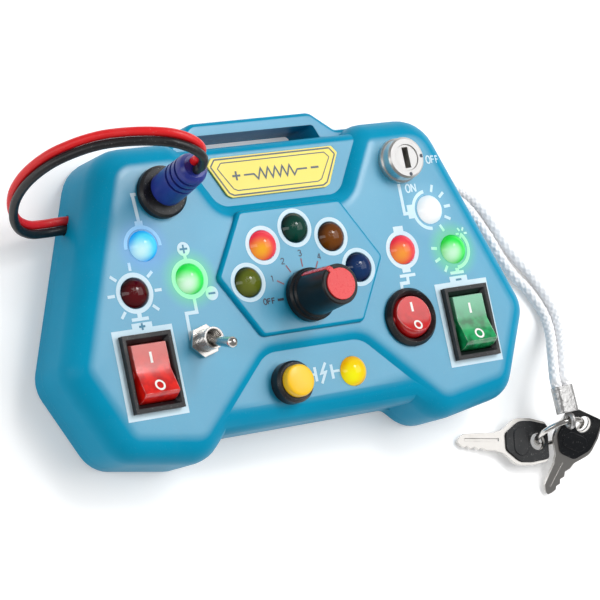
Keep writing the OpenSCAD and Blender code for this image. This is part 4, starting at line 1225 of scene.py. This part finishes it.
WIRE_LINE = 0.7
BOLT_LINE = 0.8
lower = Signs("lower_signs")
lower.line(-2.9, -30.0, -1.2, -30.0, WIRE_LINE)
lower.line(-1.2, -28.0, -1.2, -32.0, FINE_LINE)
lower.stroke([(2.6, -27.2), (0.7, -30.0), (2.2, -29.8), (0.3, -32.8)], BOLT_LINE)
lower.line(4.3, -28.0, 4.3, -32.0, FINE_LINE)
lower.line(4.3, -30.0, 6.8, -30.0, WIRE_LINE)
lay(lower, pale_ink)

# %% [markdown]
# The rockers are marked I and O. The signs are laid on each rocker and ride on it, so they tip with it.

# %% Rocker signs
I_LINE = 0.75
O_LINE = 0.55
ROCKER_LIFT = 0.04


def rocker_signs(name, x, y, reach, size):
    sheet = Signs(name + "_signs")
    sheet.line(x, y + reach - size / 2, x, y + reach + size / 2, I_LINE)
    sheet.ring(x, y - reach, size / 2 - O_LINE, size / 2)
    lay(sheet, white_ink, name, name, ROCKER_LIFT)


rocker_signs("left_rocker", -ROCKER_AT[0], ROCKER_AT[1], reach=3.9, size=3.0)
rocker_signs("right_rocker", *ROCKER_AT, reach=3.9, size=3.0)
rocker_signs("round_rocker", *ROUND_AT, reach=2.7, size=2.7)

# %% [markdown]
# The badge plate is printed with a dark double border. Its middle carries a plain wiring sign: a lead with
# a zigzag coil between a plus and a minus. The border could be typed twice, but shrinking the outline of the
# plate about its middle keeps both lines even with the edge.

# %% Badge print
BADGE = [(-20, 33.6), (-21.6, 31.5), (-17, 22.8), (-15.5, 22),
         (15.5, 22), (17, 22.8), (21.6, 31.5), (20, 33.6)]
BADGE_MIDDLE = Vector((0, 28.2))
SIGN_Y = 28.0
COIL_STEP = 1.2
COIL_RISE = 1.5


def badge_border(sheet, shrink_x, shrink_y, width):
    corners = []
    for x, y in BADGE + BADGE[:1]:
        away = Vector((x, y)) - BADGE_MIDDLE
        corners.append((BADGE_MIDDLE.x + away.x * shrink_x, BADGE_MIDDLE.y + away.y * shrink_y))
    for a, b in zip(corners, corners[1:]):
        sheet.stroke([a, b], width)


badge = Signs("badge_print")
badge_border(badge, shrink_x=0.955, shrink_y=0.90, width=0.45)
badge_border(badge, shrink_x=0.86, shrink_y=0.70, width=0.3)
coil = [(-6.0 + COIL_STEP * i, SIGN_Y + (COIL_RISE if i % 2 else -COIL_RISE)) for i in range(11)]
badge.stroke([(-10.5, SIGN_Y), (-7.2, SIGN_Y), *coil, (7.2, SIGN_Y), (10.5, SIGN_Y)], width=0.5)
badge.plus(-13.0, SIGN_Y, size=2.6, width=MARK)
badge.line(11.8, SIGN_Y, 14.4, SIGN_Y, MARK)
lay(badge, badge_ink, "badge_plate")

# %% [markdown]
# The light is plain: a large soft box on the right, placed where the panel mirrors it, so the flat panel
# turns paler than the sides. A small key light behind it gives each lens a bright spot and draws the shadows.
# A strip on the left draws a light line along the rounded edge. Broad fills brighten the panel and the walls,
# but are left out of reflections, so that the rounded edges keep their deep colour.

# %% Lights
def soft_box(name, place, target, size, radiance, mirrored=True):
    data = bpy.data.lights.new(name, "AREA")
    data.shape = "RECTANGLE"
    data.size, data.size_y = size
    data.energy = radiance * math.pi * size[0] * size[1]
    lamp = new_object(name, data)
    lamp.location = place
    lamp.rotation_euler = (Vector(target) - Vector(place)).to_track_quat("-Z", "Y").to_euler()
    lamp.visible_glossy = mirrored


soft_box("panel box", (0.46, 0.09, 0.72), (0, 0, 0.02), (0.62, 0.66), radiance=1.85)
soft_box("key", (0.27, 0.38, 0.80), (0, 0, 0.02), (0.2, 0.2), radiance=14.2)
soft_box("edge strip", (-0.75, 0.10, 0.30), (0, 0, 0.01), (0.25, 0.9), radiance=2.6)
soft_box("right fill", (0.55, 0.10, 0.85), (0, 0, 0), (1.0, 1.0), radiance=1.8, mirrored=False)
soft_box("front fill", (0.05, -1.0, 0.2), (0, 0, 0.01), (1.2, 0.5), radiance=0.6, mirrored=False)
soft_box("left fill", (-1.0, 0.05, 0.15), (0, 0, 0.01), (0.9, 0.4), radiance=0.9, mirrored=False)
world = bpy.data.worlds.new("pale room")
world.use_nodes = True
fill(world.node_tree, world.node_tree.nodes["Background"], Color=WHITE, Strength=0.30)
bpy.context.scene.world = world
bpy.context.scene.view_settings.view_transform = "Standard"

# %% [markdown]
# The board lies on a plain pale floor. Its material adds a little light of its own for the camera, so open
# floor is white and the shadows stay soft. Mirrors and clear parts show the same white floor.

# %% Floor
FLOOR_EDGE = 3.0
FLOOR_DEPTH = 0.00005
FLOOR_LIGHT = 0.26
floor_mesh = bpy.data.meshes.new("floor")
corners = [(-1, -1), (1, -1), (1, 1), (-1, 1)]
floor_points = [(x * FLOOR_EDGE, y * FLOOR_EDGE, -FLOOR_DEPTH) for x, y in corners]
floor_mesh.from_pydata(floor_points, [], [(0, 1, 2, 3)])
floor = new_object("floor", floor_mesh)
floor_finish, floor_tree, floor_shader = start_material("pale floor")
rays = add(floor_tree, "ShaderNodeLightPath").outputs
seen = math_node(floor_tree, "MAXIMUM", rays["Is Camera Ray"], rays["Is Glossy Ray"])
seen = math_node(floor_tree, "MAXIMUM", seen, rays["Is Transmission Ray"])
fill(floor_tree, floor_shader, Base_Color=(0.84, 0.84, 0.84, 1), Roughness=0.9, Specular_IOR_Level=0.1,
     Emission_Color=WHITE, Emission_Strength=product(floor_tree, seen, FLOOR_LIGHT))
floor_mesh.materials.append(floor_finish)
print("floor half width:", FLOOR_EDGE)
